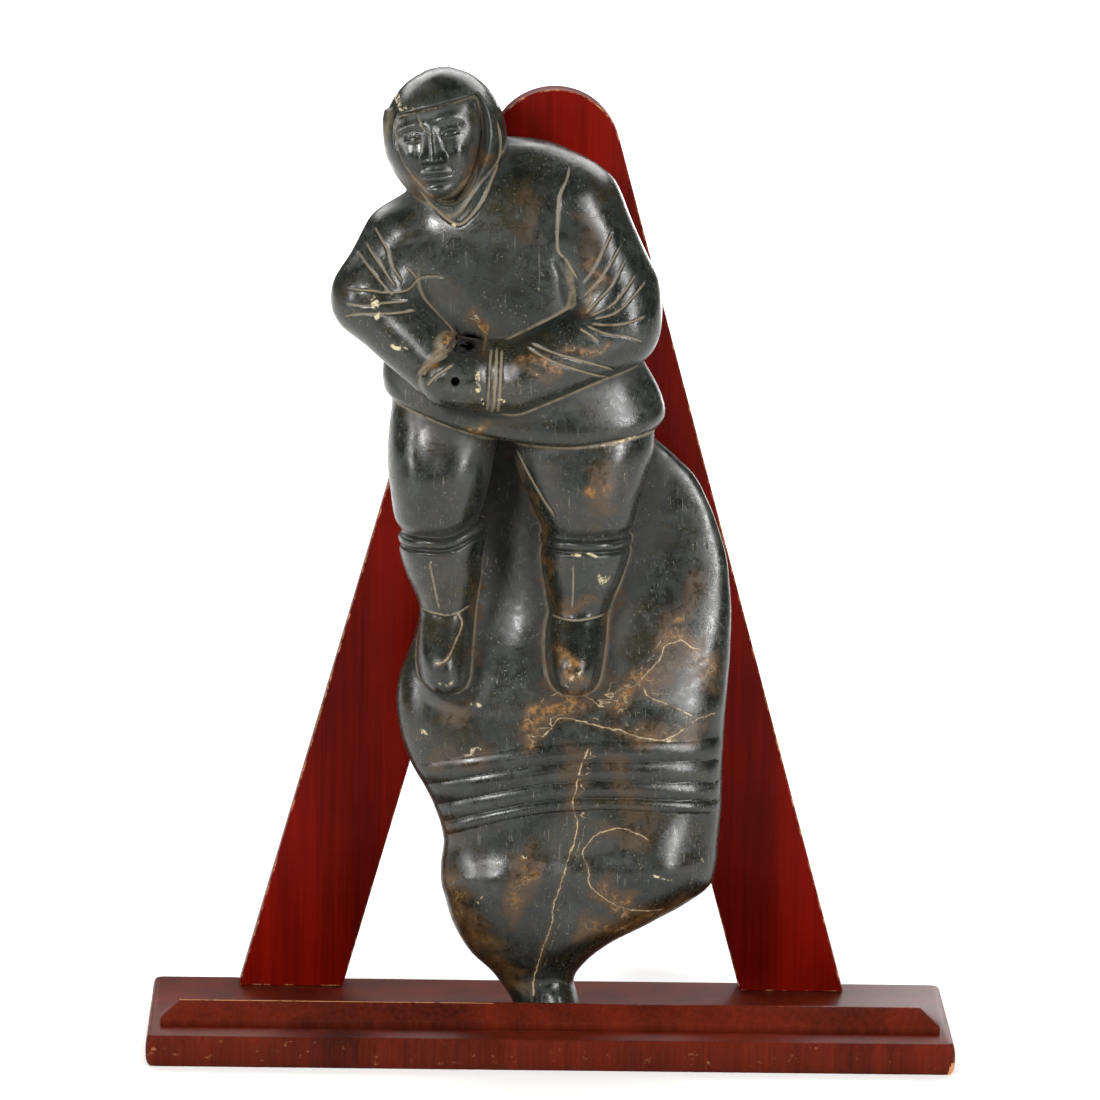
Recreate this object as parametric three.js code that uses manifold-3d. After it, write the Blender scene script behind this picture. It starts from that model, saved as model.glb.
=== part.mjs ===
// Soapstone hunter on a wooden stand. Millimetres, +Z up, the viewer stands on the -Y side.
// The origin is the middle of the board's underside.
import * as THREE from 'three';
import { mergeVertices } from 'three/addons/utils/BufferGeometryUtils.js';
import Module from 'manifold-3d';

const wasm = await Module();
wasm.setup();

// Board
const boardLength = 480;
const boardDepth = 140;
const boardThickness = 19;
const boardNose = 2.5; // how far the rounded edge bulges past the flat top
const boardCorner = 4;
const boardNoseShare = 0.4; // share of the thickness that the edge's upper and lower round each take

// Retaining lip on the board
const lipLength = 464;
const lipDepth = 14;
const lipHeight = 13.5;
const lipEdge = 4.5; // upright part of its front and ends, below the bevel
const lipBevelRun = 11.5;
const lipSetback = 20; // from the edge of the board's flat top to the lip

// Frame that the carving leans on
const frameHeight = 550.5;
const frameSpread = 367;
const frameTopRadius = 39.5;
const frameLegWidth = 60.6;
const frameThickness = 18;
const frameInset = 3; // from the board's back edge
const frameShift = -4; // the frame stands a little to the left of the board's middle
const frameArris = 1.2;

// Carving
const carvingHeight = 567;
const footClearance = 1; // between the lip and the foot
const restGap = 0.3; // left where one piece rests on another
const holeDiameter = 5; // drilled into the fist
const holeDepth = 4;
const foldWidth = 1.9; // from the middle of a carved line to its edge
const foldDepth = 1.1;

const boardTop = boardThickness;
const frameFront = boardDepth / 2 - frameInset - frameThickness;
const lipFront = -boardDepth / 2 + boardNose + lipSetback;
const lipBack = lipFront + lipDepth;

// The carving is drawn upright on its own flat back, 567 units tall, and is scaled to its height
// and leaned back afterwards. x runs to the right, y is the depth (the back is 0, the front is
// negative) and z is the height above the foot.
const drawnHeight = 567;
const carvingUnit = carvingHeight / drawnHeight;
const footDepth = 49; // drawn depth of the knob that it stands on
const restHeight = 514; // drawn height at which its back meets the frame
const carvingBackY = lipBack + footClearance + footDepth * carvingUnit;
const lean = Math.asin((frameFront - restGap - carvingBackY) / (restHeight * carvingUnit));

// Level rings of a form: height, left edge, right edge, front, depth of the widest line, back,
// squareness, where 2 is an ellipse and more is squarer.
const trunkRings = [
  [350, -96, 54, -62, -36, -6, 2.4],
  [372, -99, 55, -70, -38, -4, 2.4],
  [400, -98, 44, -73, -38, -3, 2.2],
  [430, -101, 34, -75, -38, -2, 2.1],
  [460, -104, 33, -77, -38, 0, 2.1],
  [480, -100, 34, -75, -38, 0, 2.2],
  [498, -87, 28, -68, -38, 0, 2.3],
  [512, -70, 14, -57, -36, 0, 2.2],
  [521, -58, -2, -47, -32, -6, 2],
  [524.5, -44, -18, -38, -28, -14, 2],
];
const skirtRings = [
  [0, -95, 52, -60, -34, -8, 2.5],
  [2, -101, 58, -73, -36, -4, 2.5],
  [9, -104, 62.5, -77, -37, -3, 2.5],
  [24, -104.5, 60, -76, -37, -3, 2.4],
  [42, -102, 52, -72, -37, -3, 2.4],
  [56, -94, 44, -62, -37, -6, 2.4],
];
const leftLegRings = [
  [197, -72, -59, -66, -46, -20, 2],
  [200, -77.5, -53.5, -71, -46, -20, 2.1],
  [206, -81, -51, -74, -42, -16, 2.2],
  [218, -82.5, -50, -74, -38, -14, 2.2],
  [232, -82, -49, -64, -34, -12, 2.2],
  [243, -81, -48, -57, -32, -12, 2.2],
  [250, -82.5, -47, -57, -32, -10, 2.2],
  [262, -88, -45, -61, -32, -10, 2.2],
  [274, -92, -43, -64, -32, -10, 2.3],
  [281, -93.5, -42, -65, -32, -10, 2.3],
  [283, -92.5, -43, -63, -32, -10, 2.3],
  [285, -94, -41.5, -66, -32, -10, 2.3],
  [288.5, -94, -42, -66, -32, -10, 2.3],
  [290.5, -92, -46.5, -62, -32, -10, 2.3],
  [298, -96, -45, -66, -32, -10, 2.3],
  [313, -99, -42, -70, -33, -10, 2.3],
  [328, -101, -39, -72, -34, -10, 2.3],
  [345, -101, -36, -70, -35, -10, 2.3],
  [374, -98, -30, -62, -35, -10, 2.3],
];
const rightLegRings = [
  [197, 4, 17, -66, -46, -20, 2],
  [200, -0.5, 23, -71, -46, -20, 2.1],
  [206, -4, 26.5, -74, -42, -16, 2.2],
  [218, -6, 28.5, -74, -38, -14, 2.2],
  [232, -6, 30, -64, -34, -12, 2.2],
  [243, -4, 31, -57, -32, -12, 2.2],
  [250, -5, 33, -57, -32, -10, 2.2],
  [262, -7, 38, -61, -32, -10, 2.2],
  [274, -9, 42, -64, -32, -10, 2.3],
  [281, -9, 43.5, -65, -32, -10, 2.3],
  [283, -8, 42.5, -63, -32, -10, 2.3],
  [285, -9.5, 44, -66, -32, -10, 2.3],
  [288.5, -10, 44.5, -66, -32, -10, 2.3],
  [290.5, -9, 42.5, -62, -32, -10, 2.3],
  [298, -11, 46, -66, -32, -10, 2.3],
  [313, -18, 49, -70, -33, -10, 2.3],
  [328, -24, 53, -71, -34, -10, 2.3],
  [345, -29, 57, -70, -35, -10, 2.3],
  [374, -29, 54, -62, -35, -10, 2.3],
];
const slabRings = [
  [-4, -20, 16, -44, -18, -2, 2.5],
  [4, -22, 17.5, -45, -18, 0, 2.5],
  [11, -26, 16, -43, -18, 0, 2.4],
  [18, -31, 14.5, -41, -18, 0, 2.3],
  [25, -37, 17.5, -42, -18, 0, 2.3],
  [34, -47, 26, -46, -18, 0, 2.3],
  [44, -54, 40, -50, -19, 0, 2.4],
  [56, -60, 62, -55, -20, 0, 2.5],
  [67, -63, 81, -58, -21, 0, 2.6],
  [78, -66, 95, -60, -22, 0, 2.7],
  [90, -66, 98.5, -61, -22, 0, 2.8],
  [104, -65, 99.5, -59, -22, 0, 2.8],
  [127, -72, 101, -57, -22, 0, 2.8],
  [150, -85, 101, -58, -21, 0, 2.8],
  [162, -90, 101.5, -58, -20, 0, 2.8],
  [176, -93, 102, -57, -19, 0, 2.8],
  [190, -94, 103, -55, -18, 0, 2.8],
  [204, -92, 104, -49, -16, 0, 2.8],
  [222, -85, 105, -41, -15, 0, 3],
  [240, -80, 105, -35, -14, 0, 3.2],
  [256, -78, 104, -31, -14, 0, 3.3],
  [273, -77, 102, -28, -14, 0, 3.4],
  [290, -76, 97, -25, -14, 0, 3.4],
  [308, -75, 90, -24, -14, 0, 3.4],
  [323, -74, 82, -23, -13, 0, 3.4],
  [335, -73, 70, -22, -13, 0, 3.2],
  [345, -72, 58, -22, -13, 0, 3],
  [366, -70, 30, -20, -13, -2, 3],
];
const hoodTilt = 7.5 * Math.PI / 180;
const hoodPlace = [-69, 0, 523];
const hoodRings = [
  [-52, -2, 3, -62, -50, -30, 2],
  [-48, -7, 7, -68, -46, -20, 2],
  [-38, -15.5, 15, -73, -42, -10, 2.1],
  [-26, -26, 24, -74, -40, -6, 2.1],
  [-14, -33, 31.5, -74, -40, -4, 2.3],
  [0, -36.5, 36, -74, -40, -4, 2.5],
  [14, -35, 34.5, -73, -40, -6, 2.5],
  [26, -29.5, 29.5, -69, -40, -10, 2.3],
  [36, -20.5, 21, -60, -40, -17, 2.1],
  [41, -11, 12, -53, -39, -25, 2],
  [43.5, -3, 4, -44, -38, -33, 2],
];

// Straight limb stretches: two ends with their radius.
const limbs = {
  leftUpperArm: [[-93, -44, 463, 25], [-110, -52, 434, 23.5]],
  leftForearm: [[-110, -54, 430, 23.3], [-72, -74, 394, 19.5]],
  rightUpperArm: [[6, -43, 484, 28.5], [30.5, -50, 436, 28]],
  rightForearm: [[33, -56, 416.5, 25.5], [-28, -76, 387.5, 21]],
};
const hands = {
  cuff: [[-36, -77, 388.5, 21.8], [-40.5, -79, 388.5, 21.8]],
  fist: [[-53, -84, 388.5, 19.8], [-65, -85, 388.5, 18.3]],
  leftHand: [[-79, -74, 400, 15], [-67, -80, 404, 10.5]],
};
const holePlace = [-62, 388]; // x and z on the fist's front

const clamp = (v, low, high) => Math.min(high, Math.max(low, v));
const smooth = (low, high, v) => {
  const t = clamp((v - low) / (high - low), 0, 1);
  return t * t * (3 - 2 * t);
};
const bump = (v, centre, width) => Math.exp(-(((v - centre) / width) ** 2));

// The carved bands sag towards the left, and so do the rings of the slab around them.
const bandSag = (x) => -18 * (Math.max(0, 40 - x) / 121) ** 2;
const sagShare = (z) => smooth(72, 108, z) * (1 - smooth(170, 204, z));
const bandGrooves = [128, 135.5, 145.5, 157.5, 169];
const bandRise = 2.2;
const bandMiddle = 11;
const bandSpread = { left: 0.16, right: 0.08, half: 75 }; // how much the bands widen to the sides

// Relief of the slab's front across its width: rise, place and half width. The valley parts the
// two lobes, the channel runs up between the legs, and the knob and its cleft are at the foot.
// Each lobe swells around a height of its own.
const valley = [-7, 17, 20];
const leftLobe = [4.5, -34, 24];
const rightLobe = [4.5, 66, 22];
const channel = [-8, -38, 13];
const knob = [2.5, 8, 8];
const cleft = [-2, -5, 5];
function slabRelief(x, z) {
  const rise = ([height, place, width]) => height * bump(x, place, width);
  return rise(valley) * smooth(40, 74, z) * (1 - smooth(96, 126, z))
    + rise(leftLobe) * bump(z, 80, 24)
    + rise(rightLobe) * bump(z, 95, 20)
    + rise(channel) * smooth(205, 250, z)
    + rise(knob) * (1 - smooth(10, 24, z))
    + rise(cleft) * (1 - smooth(6, 20, z));
}

// The hem is lowest at one place and rises from there to both sides.
const hemHeight = 345;
const hemLowest = 5;
const hemLeft = [26, 106]; // rise, and how far from the lowest place
const hemRight = [8, 51];
function hemRise(x) {
  const [rise, run] = x < hemLowest ? hemLeft : hemRight;
  return rise * ((x - hemLowest) / run) ** 2;
}

// Value of every column of a ring table at a height, on one smooth curve through its rows.
function ringAt(rings, z) {
  const last = rings.length - 1;
  const at = clamp(rings.findIndex((ring) => ring[0] > z) - 1, 0, last - 1);
  const low = z >= rings[last][0] ? last - 1 : at;
  const [a, b] = [rings[low], rings[low + 1]];
  const before = rings[Math.max(low - 1, 0)];
  const after = rings[Math.min(low + 2, last)];
  const span = b[0] - a[0];
  const t = clamp((z - a[0]) / span, 0, 1);
  return a.map((value, k) => {
    const startSlope = (b[k] - before[k]) / (b[0] - before[0]) * span;
    const endSlope = (after[k] - value) / (after[0] - a[0]) * span;
    return value * (1 + t * t * (2 * t - 3)) + b[k] * t * t * (3 - 2 * t)
      + startSlope * t * (1 - t) ** 2 - endSlope * t * t * (1 - t);
  });
}

const signedPower = (v, power) => Math.sign(v) * Math.abs(v) ** power;

// Point of a level ring at a turn, where 0 is the right edge and a quarter turn is the front.
function ringPoint([z, left, right, front, side, back, square], turn) {
  const x = signedPower(Math.cos(turn), 2 / square);
  const y = signedPower(Math.sin(turn), 2 / square);
  const depth = y > 0 ? (front - side) * y : (side - back) * y;
  return new THREE.Vector3((left + right) / 2 + x * (right - left) / 2, side + depth, z);
}

// Closed geometry of equal rings of points, from the bottom up, each ring turning to the right
// hand side first and then to the front.
function ringsToGeometry(rings) {
  const count = rings[0].length;
  const centre = (ring) => ring.reduce((sum, p) => sum.add(p), new THREE.Vector3())
    .divideScalar(count);
  const points = rings.flat().concat(centre(rings[0]), centre(rings.at(-1)));
  const [bottom, top] = [points.length - 2, points.length - 1];
  const index = [];
  for (let i = 0; i < count; i += 1) {
    const j = (i + 1) % count;
    index.push(bottom, i, j);
    for (let ring = 0; ring < rings.length - 1; ring += 1) {
      const low = ring * count;
      const high = low + count;
      index.push(low + i, high + i, high + j, low + i, high + j, low + j);
    }
    const rim = (rings.length - 1) * count;
    index.push(top, rim + j, rim + i);
  }
  const geometry = new THREE.BufferGeometry().setFromPoints(points);
  geometry.setIndex(index);
  return geometry;
}

// Heights for a ring table: its own rows, each gap cut so that no step is longer than given.
function ringHeights(rings, step) {
  const heights = [rings[0][0]];
  for (let i = 1; i < rings.length; i += 1) {
    const gap = rings[i][0] - rings[i - 1][0];
    const cuts = Math.ceil(gap / step);
    for (let k = 1; k <= cuts; k += 1) heights.push(rings[i - 1][0] + gap * k / cuts);
  }
  return heights;
}

// Form of a ring table: either a number of points around each ring or their turns.
function ringForm(rings, around, step, shape = (point) => point) {
  return ringsToGeometry(ringHeights(rings, step).map((z) => {
    const ring = ringAt(rings, z);
    const turns = Array.isArray(around) ? around
      : Array.from({ length: around }, (_, i) => i / around * 2 * Math.PI);
    return turns.map((turn) => shape(ringPoint(ring, turn)));
  }));
}

// Solid of a geometry, for joining and cutting.
function solid(geometry) {
  const bare = geometry.clone();
  bare.deleteAttribute('normal');
  bare.deleteAttribute('uv');
  const merged = mergeVertices(bare, 1e-4);
  return new wasm.Manifold(new wasm.Mesh({
    numProp: 3,
    vertProperties: new Float32Array(merged.attributes.position.array),
    triVerts: new Uint32Array(merged.index.array),
  }));
}

function solidToGeometry(form) {
  const mesh = form.getMesh();
  const geometry = new THREE.BufferGeometry();
  geometry.setAttribute('position', new THREE.BufferAttribute(mesh.vertProperties, 3));
  geometry.setIndex(new THREE.BufferAttribute(mesh.triVerts, 1));
  return geometry;
}

// Limb stretch with round ends, turned around the line between them.
function limbForm([[x0, y0, z0, r0], [x1, y1, z1, r1]], sides = 14, steps = 4) {
  const start = new THREE.Vector3(x0, y0, z0);
  const along = new THREE.Vector3(x1, y1, z1).sub(start);
  const length = along.length();
  const flare = Math.asin((r0 - r1) / length);
  const profile = [];
  for (let i = 0; i <= steps; i += 1) {
    const angle = -Math.PI / 2 + (Math.PI / 2 + flare) * i / steps;
    profile.push(new THREE.Vector2(r0 * Math.cos(angle), r0 * Math.sin(angle)));
  }
  for (let i = 0; i <= steps; i += 1) {
    const angle = flare + (Math.PI / 2 - flare) * i / steps;
    profile.push(new THREE.Vector2(r1 * Math.cos(angle), length + r1 * Math.sin(angle)));
  }
  profile[0].x = 0;
  profile.at(-1).x = 0;
  const geometry = new THREE.LatheGeometry(profile, sides);
  const turn = new THREE.Quaternion()
    .setFromUnitVectors(new THREE.Vector3(0, 1, 0), along.normalize());
  geometry.applyQuaternion(turn);
  geometry.translate(x0, y0, z0);
  return geometry;
}

// Foremost depth of a level-ring form or a limb at a drawn place, or the back where it is absent.
function ringFront(rings, x, z) {
  if (z < rings[0][0] || z > rings.at(-1)[0]) return 0;
  const [, left, right, front, side, , square] = ringAt(rings, z);
  const u = Math.abs(x - (left + right) / 2) / ((right - left) / 2);
  return u < 1 ? side + (front - side) * (1 - u ** square) ** (1 / square) : 0;
}
function limbFront([a, b], x, z, steps = 20) {
  let nearest = 0;
  for (let i = 0; i <= steps; i += 1) {
    const t = i / steps;
    const [cx, cy, cz, r] = a.map((value, k) => value + (b[k] - value) * t);
    const inside = r * r - (x - cx) ** 2 - (z - cz) ** 2;
    if (inside > 0) nearest = Math.min(nearest, cy - Math.sqrt(inside));
  }
  return nearest;
}
function figureFront(x, z) {
  const depths = [trunkRings, leftLegRings, rightLegRings].map((rings) => ringFront(rings, x, z));
  for (const limb of Object.values({ ...limbs, ...hands })) depths.push(limbFront(limb, x, z));
  return Math.min(...depths);
}

// V-shaped cut along a line of drawn [x, z] points on the figure's front, thin at both ends.
function foldCut(points, step = 7) {
  const line = new THREE.CatmullRomCurve3(
    points.map(([x, z]) => new THREE.Vector3(x, 0, z)), false, 'centripetal');
  const length = line.getLength();
  const steps = Math.max(3, Math.round(length / step));
  const rings = [];
  for (let i = 0; i <= steps; i += 1) {
    const here = line.getPointAt(i / steps);
    const along = line.getTangentAt(i / steps);
    const across = new THREE.Vector3(along.z, 0, -along.x);
    const size = clamp(3 * Math.sin(Math.PI * i / steps), 0.2, 1);
    const surface = figureFront(here.x, here.z);
    const corner = (side, depth) => here.clone().addScaledVector(across, side * foldWidth * size)
      .setY(surface + depth * size);
    rings.push([corner(-1, -foldDepth), corner(0, foldDepth), corner(1, -foldDepth)]);
  }
  return ringsToGeometry(rings);
}

const leftSleeveFolds = [
  [[-92, 438], [-82, 443], [-69, 446]],
  [[-111, 474], [-103, 459], [-97, 447], [-91, 438]],
  [[-117, 465], [-109, 451], [-100, 441], [-94, 437]],
  [[-121, 457], [-111, 444], [-100, 434]],
  [[-127, 434], [-115, 433], [-103, 432], [-93, 435]],
  [[-128, 425], [-113, 425], [-97, 427]],
  [[-127, 417], [-112, 418], [-92, 422]],
];
const rightSleeveFolds = [
  [[14, 424], [20, 436], [26, 452], [30, 470]],
  [[16, 424], [24, 436], [32, 450], [37, 462]],
  [[17, 423], [29, 433], [38, 442], [44, 452]],
  [[18, 421], [32, 426], [44, 434], [51, 444]],
  [[18, 419], [34, 420], [50, 423]],
  [[16, 418], [30, 413], [46, 408]],
  [[-22, 404], [-2, 398], [20, 392], [33, 389]],
  [[-21, 401], [-6, 393], [12, 386], [28, 381]],
];
const fistLines = [
  [[-81, 391], [-75, 399], [-66, 404]],
  [[-79, 384], [-73, 391], [-63, 398]],
];
const seams = [
  [[4, 514], [0, 500], [-3, 484], [-3, 468], [0, 456], [6, 444]],
  [[-24, 340], [-17, 322], [-10, 308], [-2, 296]],
  [[-20, 338], [-12, 318], [-4, 304], [4, 297]],
  [[9, 277], [9.5, 262], [9, 247]],
  [[-75, 276], [-72, 262], [-69, 248]],
];

// Face, in the hood's own frame, where x and z are measured from the head's middle. It follows the
// usual canon: eyes halfway down the head, the nose's base halfway from the brow to the chin, and
// the mouth a third of the way from there to the chin.
const headTop = 45;
const chinLevel = -31;
const eyeLevel = (headTop + chinLevel) / 2;
const browLevel = eyeLevel + 7;
const noseLevel = browLevel + (chinLevel - browLevel) / 2;
const mouthLevel = noseLevel + (chinLevel - noseLevel) * 0.36;
const faceHalfWidth = 26;
const eyeSpacing = faceHalfWidth * 0.84;

function faceRelief(x, z) {
  const side = Math.abs(x);
  const noseLength = browLevel - noseLevel;
  const down = clamp((browLevel - z) / noseLength, 0, 1);
  const nose = (2.4 + 5.2 * down) * bump(x, 0, 2.6 + 2.6 * down)
    * smooth(noseLevel - 2.5, noseLevel + 0.5, z) * (1 - smooth(browLevel - 4, browLevel + 5, z));
  const brow = 1.8 * bump(z, browLevel, 3.2) * bump(side, eyeSpacing / 2, 9);
  const socket = -2.6 * bump(z, eyeLevel, 4.2) * bump(side, eyeSpacing / 2, 6.5);
  const eye = 2.1 * bump(z, eyeLevel - 0.6, 2.3) * bump(side, eyeSpacing / 2, 4.4);
  const cheek = 2.4 * bump(z, noseLevel + 3, 7) * bump(side, 15, 6);
  const lips = 2.6 * bump(x, 0, 7.5) * bump(z, mouthLevel, 3.6)
    - 1.6 * bump(x, 0, 7) * bump(z, mouthLevel, 0.9);
  const chin = 2.6 * bump(x, 0, 8) * bump(z, chinLevel + 5, 4);
  return nose + brow + socket + eye + cheek + lips + chin;
}

const faceRings = [
  [chinLevel - 3, -6, 6, -58, -48, -36, 2],
  [chinLevel, -11, 11, -65, -48, -36, 2],
  [chinLevel + 8, -18, 18, -68, -48, -36, 2],
  [noseLevel, -23, 23, -69.5, -48, -36, 2.1],
  [eyeLevel, -25.5, 25.5, -69, -48, -36, 2.1],
  [browLevel + 6, -26, 26, -67, -46, -36, 2.1],
  [27, -25, 25, -62, -44, -36, 2.1],
];

// Opening of the hood around the face, in the hood's own frame.
const openingRings = [
  [-35, -5, 2, -99, -74, -52, 2],
  [-31, -11, 8, -99, -74, -50, 2],
  [-22, -19, 16, -99, -74, -49, 2.1],
  [-8, -28, 24, -99, -74, -48, 2.2],
  [6, -31.5, 27.5, -99, -74, -48, 2.3],
  [18, -31, 28, -99, -74, -49, 2.3],
  [24, -29, 27, -99, -74, -52, 2.3],
];
const capSlope = Math.tan(8 * Math.PI / 180); // the cap's edge rises to the right
const faceTurn = -5 * Math.PI / 180; // the face looks a little to the left
const faceShift = -2;

const halfTurn = (from, count) => Array.from(
  { length: count }, (_, i) => from + i / count * Math.PI);

function headForms() {
  const place = (geometry) => geometry.rotateY(-hoodTilt).translate(...hoodPlace);
  const slopeEdge = (p) => p.setZ(p.z + capSlope * p.x * smooth(0, 20, p.z));
  const hood = ringForm(hoodRings, 24, 12);
  const opening = ringForm(openingRings, 20, 14, slopeEdge);
  const turns = halfTurn(0, 20).concat(halfTurn(Math.PI, 3));
  const face = ringForm(faceRings, turns, 3.6, (p) => {
    const front = clamp((-50 - p.y) / 10, 0, 1);
    return slopeEdge(p.setY(p.y - faceRelief(p.x, p.z) * front));
  });
  face.rotateZ(faceTurn).translate(faceShift, 0, 0);
  return [hood, opening, face].map((geometry) => solid(place(geometry)));
}

// Slab: level rings that sag along the carved bands, with the relief of its front.
function bandRidge(x, level) {
  const side = x < bandMiddle ? bandSpread.left : bandSpread.right;
  const spread = 1 + side * ((x - bandMiddle) / bandSpread.half) ** 2;
  const top = bandGrooves.at(-1);
  const z = top - (top - level) / spread;
  for (let i = 1; i < bandGrooves.length; i += 1) {
    const [low, high] = [bandGrooves[i - 1], bandGrooves[i]];
    if (z > low && z < high) return bandRise * Math.sin(Math.PI * (z - low) / (high - low)) ** 0.7;
  }
  return 0;
}

function slabForm() {
  const heights = ringHeights(slabRings, 17)
    .filter((z) => z < bandGrooves[0] - 6 || z > bandGrooves.at(-1) + 3);
  bandGrooves.forEach((z, i) => {
    heights.push(z);
    const next = bandGrooves[i + 1];
    if (next) heights.push(...[0.3, 0.7].map((t) => z + t * (next - z)));
  });
  heights.sort((a, b) => a - b);
  const turns = halfTurn(0, 17).concat(halfTurn(Math.PI, 5));
  return ringsToGeometry(heights.map((z) => {
    const ring = ringAt(slabRings, z);
    const sag = (x) => bandSag(x) * sagShare(z);
    ring[1] = ringAt(slabRings, z + sag(ring[1]))[1];
    return turns.map((turn) => {
      const p = ringPoint(ring, turn);
      const front = clamp((ring[4] - p.y) / (ring[4] - ring[3]), 0, 1);
      p.y -= (bandRidge(p.x, z) + slabRelief(p.x, z)) * Math.sqrt(front);
      p.z += sag(p.x);
      return p;
    });
  }));
}

// Skirt: rings above the hem, which follow its curve less and less towards the waist.
function skirtForm() {
  const evenHeight = 90;
  const bend = (p) => p.setZ(hemHeight + p.z + hemRise(p.x) * (1 - p.z / evenHeight));
  return ringForm(skirtRings, 28, 18, bend);
}

// Hole drilled into the fist, along the depth.
function fistHole() {
  const radius = holeDiameter / 2 / carvingUnit;
  const depth = holeDepth / carvingUnit;
  const [x, z] = holePlace;
  const hole = new THREE.CylinderGeometry(radius, radius, 2 * depth, 12);
  return hole.translate(x, limbFront(hands.fist, x, z), z);
}

// All that lies below the flat that the leaning carving stands on.
function belowFoot() {
  const size = 200;
  return new THREE.BoxGeometry(size, size, size).translate(0, 0, -size / 2).rotateX(lean);
}

function carvingGeometry() {
  const [hood, opening, face] = headForms();
  const body = [
    slabForm(), ringForm(trunkRings, 24, 22), skirtForm(),
    ringForm(leftLegRings, 16, 18), ringForm(rightLegRings, 16, 18),
    ...Object.values(limbs).map((limb) => limbForm(limb)),
    ...Object.values(hands).map((hand) => limbForm(hand, 14, 3)),
  ].map(solid).reduce((joined, form) => joined.add(form));

  let carving = body.subtract(opening).add(hood.subtract(opening)).add(face);
  for (const line of [...leftSleeveFolds, ...rightSleeveFolds, ...fistLines, ...seams]) {
    carving = carving.subtract(solid(foldCut(line)));
  }
  carving = carving.subtract(solid(fistHole())).subtract(solid(belowFoot()));
  return solidToGeometry(carving).scale(carvingUnit, carvingUnit, carvingUnit);
}

const stone = new THREE.MeshStandardMaterial({ color: 0x2b302b, roughness: 0.25, metalness: 0 });
const redWood = new THREE.MeshStandardMaterial({ color: 0x6b1410, roughness: 0.35, metalness: 0 });

function baseBoard() {
  const radius = boardCorner;
  const [w, d] = [boardLength / 2 - boardNose, boardDepth / 2 - boardNose];
  const outline = new THREE.Shape();
  outline.moveTo(radius - w, -d).lineTo(w - radius, -d)
    .absarc(w - radius, radius - d, radius, -Math.PI / 2, 0, false)
    .lineTo(w, d - radius).absarc(w - radius, d - radius, radius, 0, Math.PI / 2, false)
    .lineTo(radius - w, d).absarc(radius - w, d - radius, radius, Math.PI / 2, Math.PI, false)
    .lineTo(-w, radius - d)
    .absarc(radius - w, radius - d, radius, Math.PI, Math.PI * 1.5, false);
  const bevelThickness = boardThickness * boardNoseShare;
  const geometry = new THREE.ExtrudeGeometry(outline, {
    depth: boardThickness - 2 * bevelThickness, curveSegments: 3,
    bevelThickness, bevelSize: boardNose, bevelSegments: 3,
  });
  const mesh = new THREE.Mesh(geometry, redWood);
  mesh.name = 'base_board';
  mesh.position.z = bevelThickness;
  return mesh;
}

function frontLip() {
  const back = lipDepth / 2;
  const level = (z, run) => [
    [lipLength / 2 - run, back], [lipLength / 2 - run, run - back],
    [run - lipLength / 2, run - back], [run - lipLength / 2, back],
  ].map(([x, y]) => new THREE.Vector3(x, y, z));
  const geometry = ringsToGeometry([level(0, 0), level(lipEdge, 0), level(lipHeight, lipBevelRun)]);
  const mesh = new THREE.Mesh(geometry, redWood);
  mesh.name = 'front_lip';
  mesh.position.set(0, lipFront + lipDepth / 2, boardTop);
  return mesh;
}

// A-shaped board: outer edges run from the feet to the round top, inner edges are parallel to them.
function backFrame() {
  const foot = frameSpread / 2;
  const topCentre = frameHeight - frameTopRadius;
  const edgeAngle = Math.atan(foot / topCentre)
    - Math.asin(frameTopRadius / Math.hypot(foot, topCentre));
  const inner = foot - frameLegWidth / Math.cos(edgeAngle);
  const crotch = inner / Math.tan(edgeAngle);
  const outline = new THREE.Shape();
  outline.moveTo(-foot, 0).lineTo(-inner, 0).lineTo(0, crotch).lineTo(inner, 0).lineTo(foot, 0)
    .absarc(0, topCentre, frameTopRadius, edgeAngle, Math.PI - edgeAngle, false)
    .lineTo(-foot, 0);
  const geometry = new THREE.ExtrudeGeometry(outline, {
    depth: frameThickness - 2 * frameArris, curveSegments: 14, bevelThickness: frameArris,
    bevelSize: frameArris, bevelOffset: -frameArris, bevelSegments: 1,
  });
  geometry.rotateX(Math.PI / 2);
  const mesh = new THREE.Mesh(geometry, redWood);
  mesh.name = 'back_frame';
  mesh.position.set(frameShift, frameFront + frameThickness - frameArris, boardTop);
  return mesh;
}

function hunterCarving() {
  const mesh = new THREE.Mesh(carvingGeometry(), stone);
  mesh.name = 'hunter_carving';
  mesh.rotation.x = -lean;
  mesh.position.set(0, carvingBackY, boardTop + restGap);
  return mesh;
}

const group = new THREE.Group();
group.add(baseBoard(), frontLip(), backFrame(), hunterCarving());

export default group;
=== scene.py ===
"""Polished soapstone carving of a standing hunter, leaning on a stand of red-stained wood."""

import math

import bpy
import numpy as np
from mathutils import Matrix, Vector
from mathutils.bvhtree import BVHTree


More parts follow.
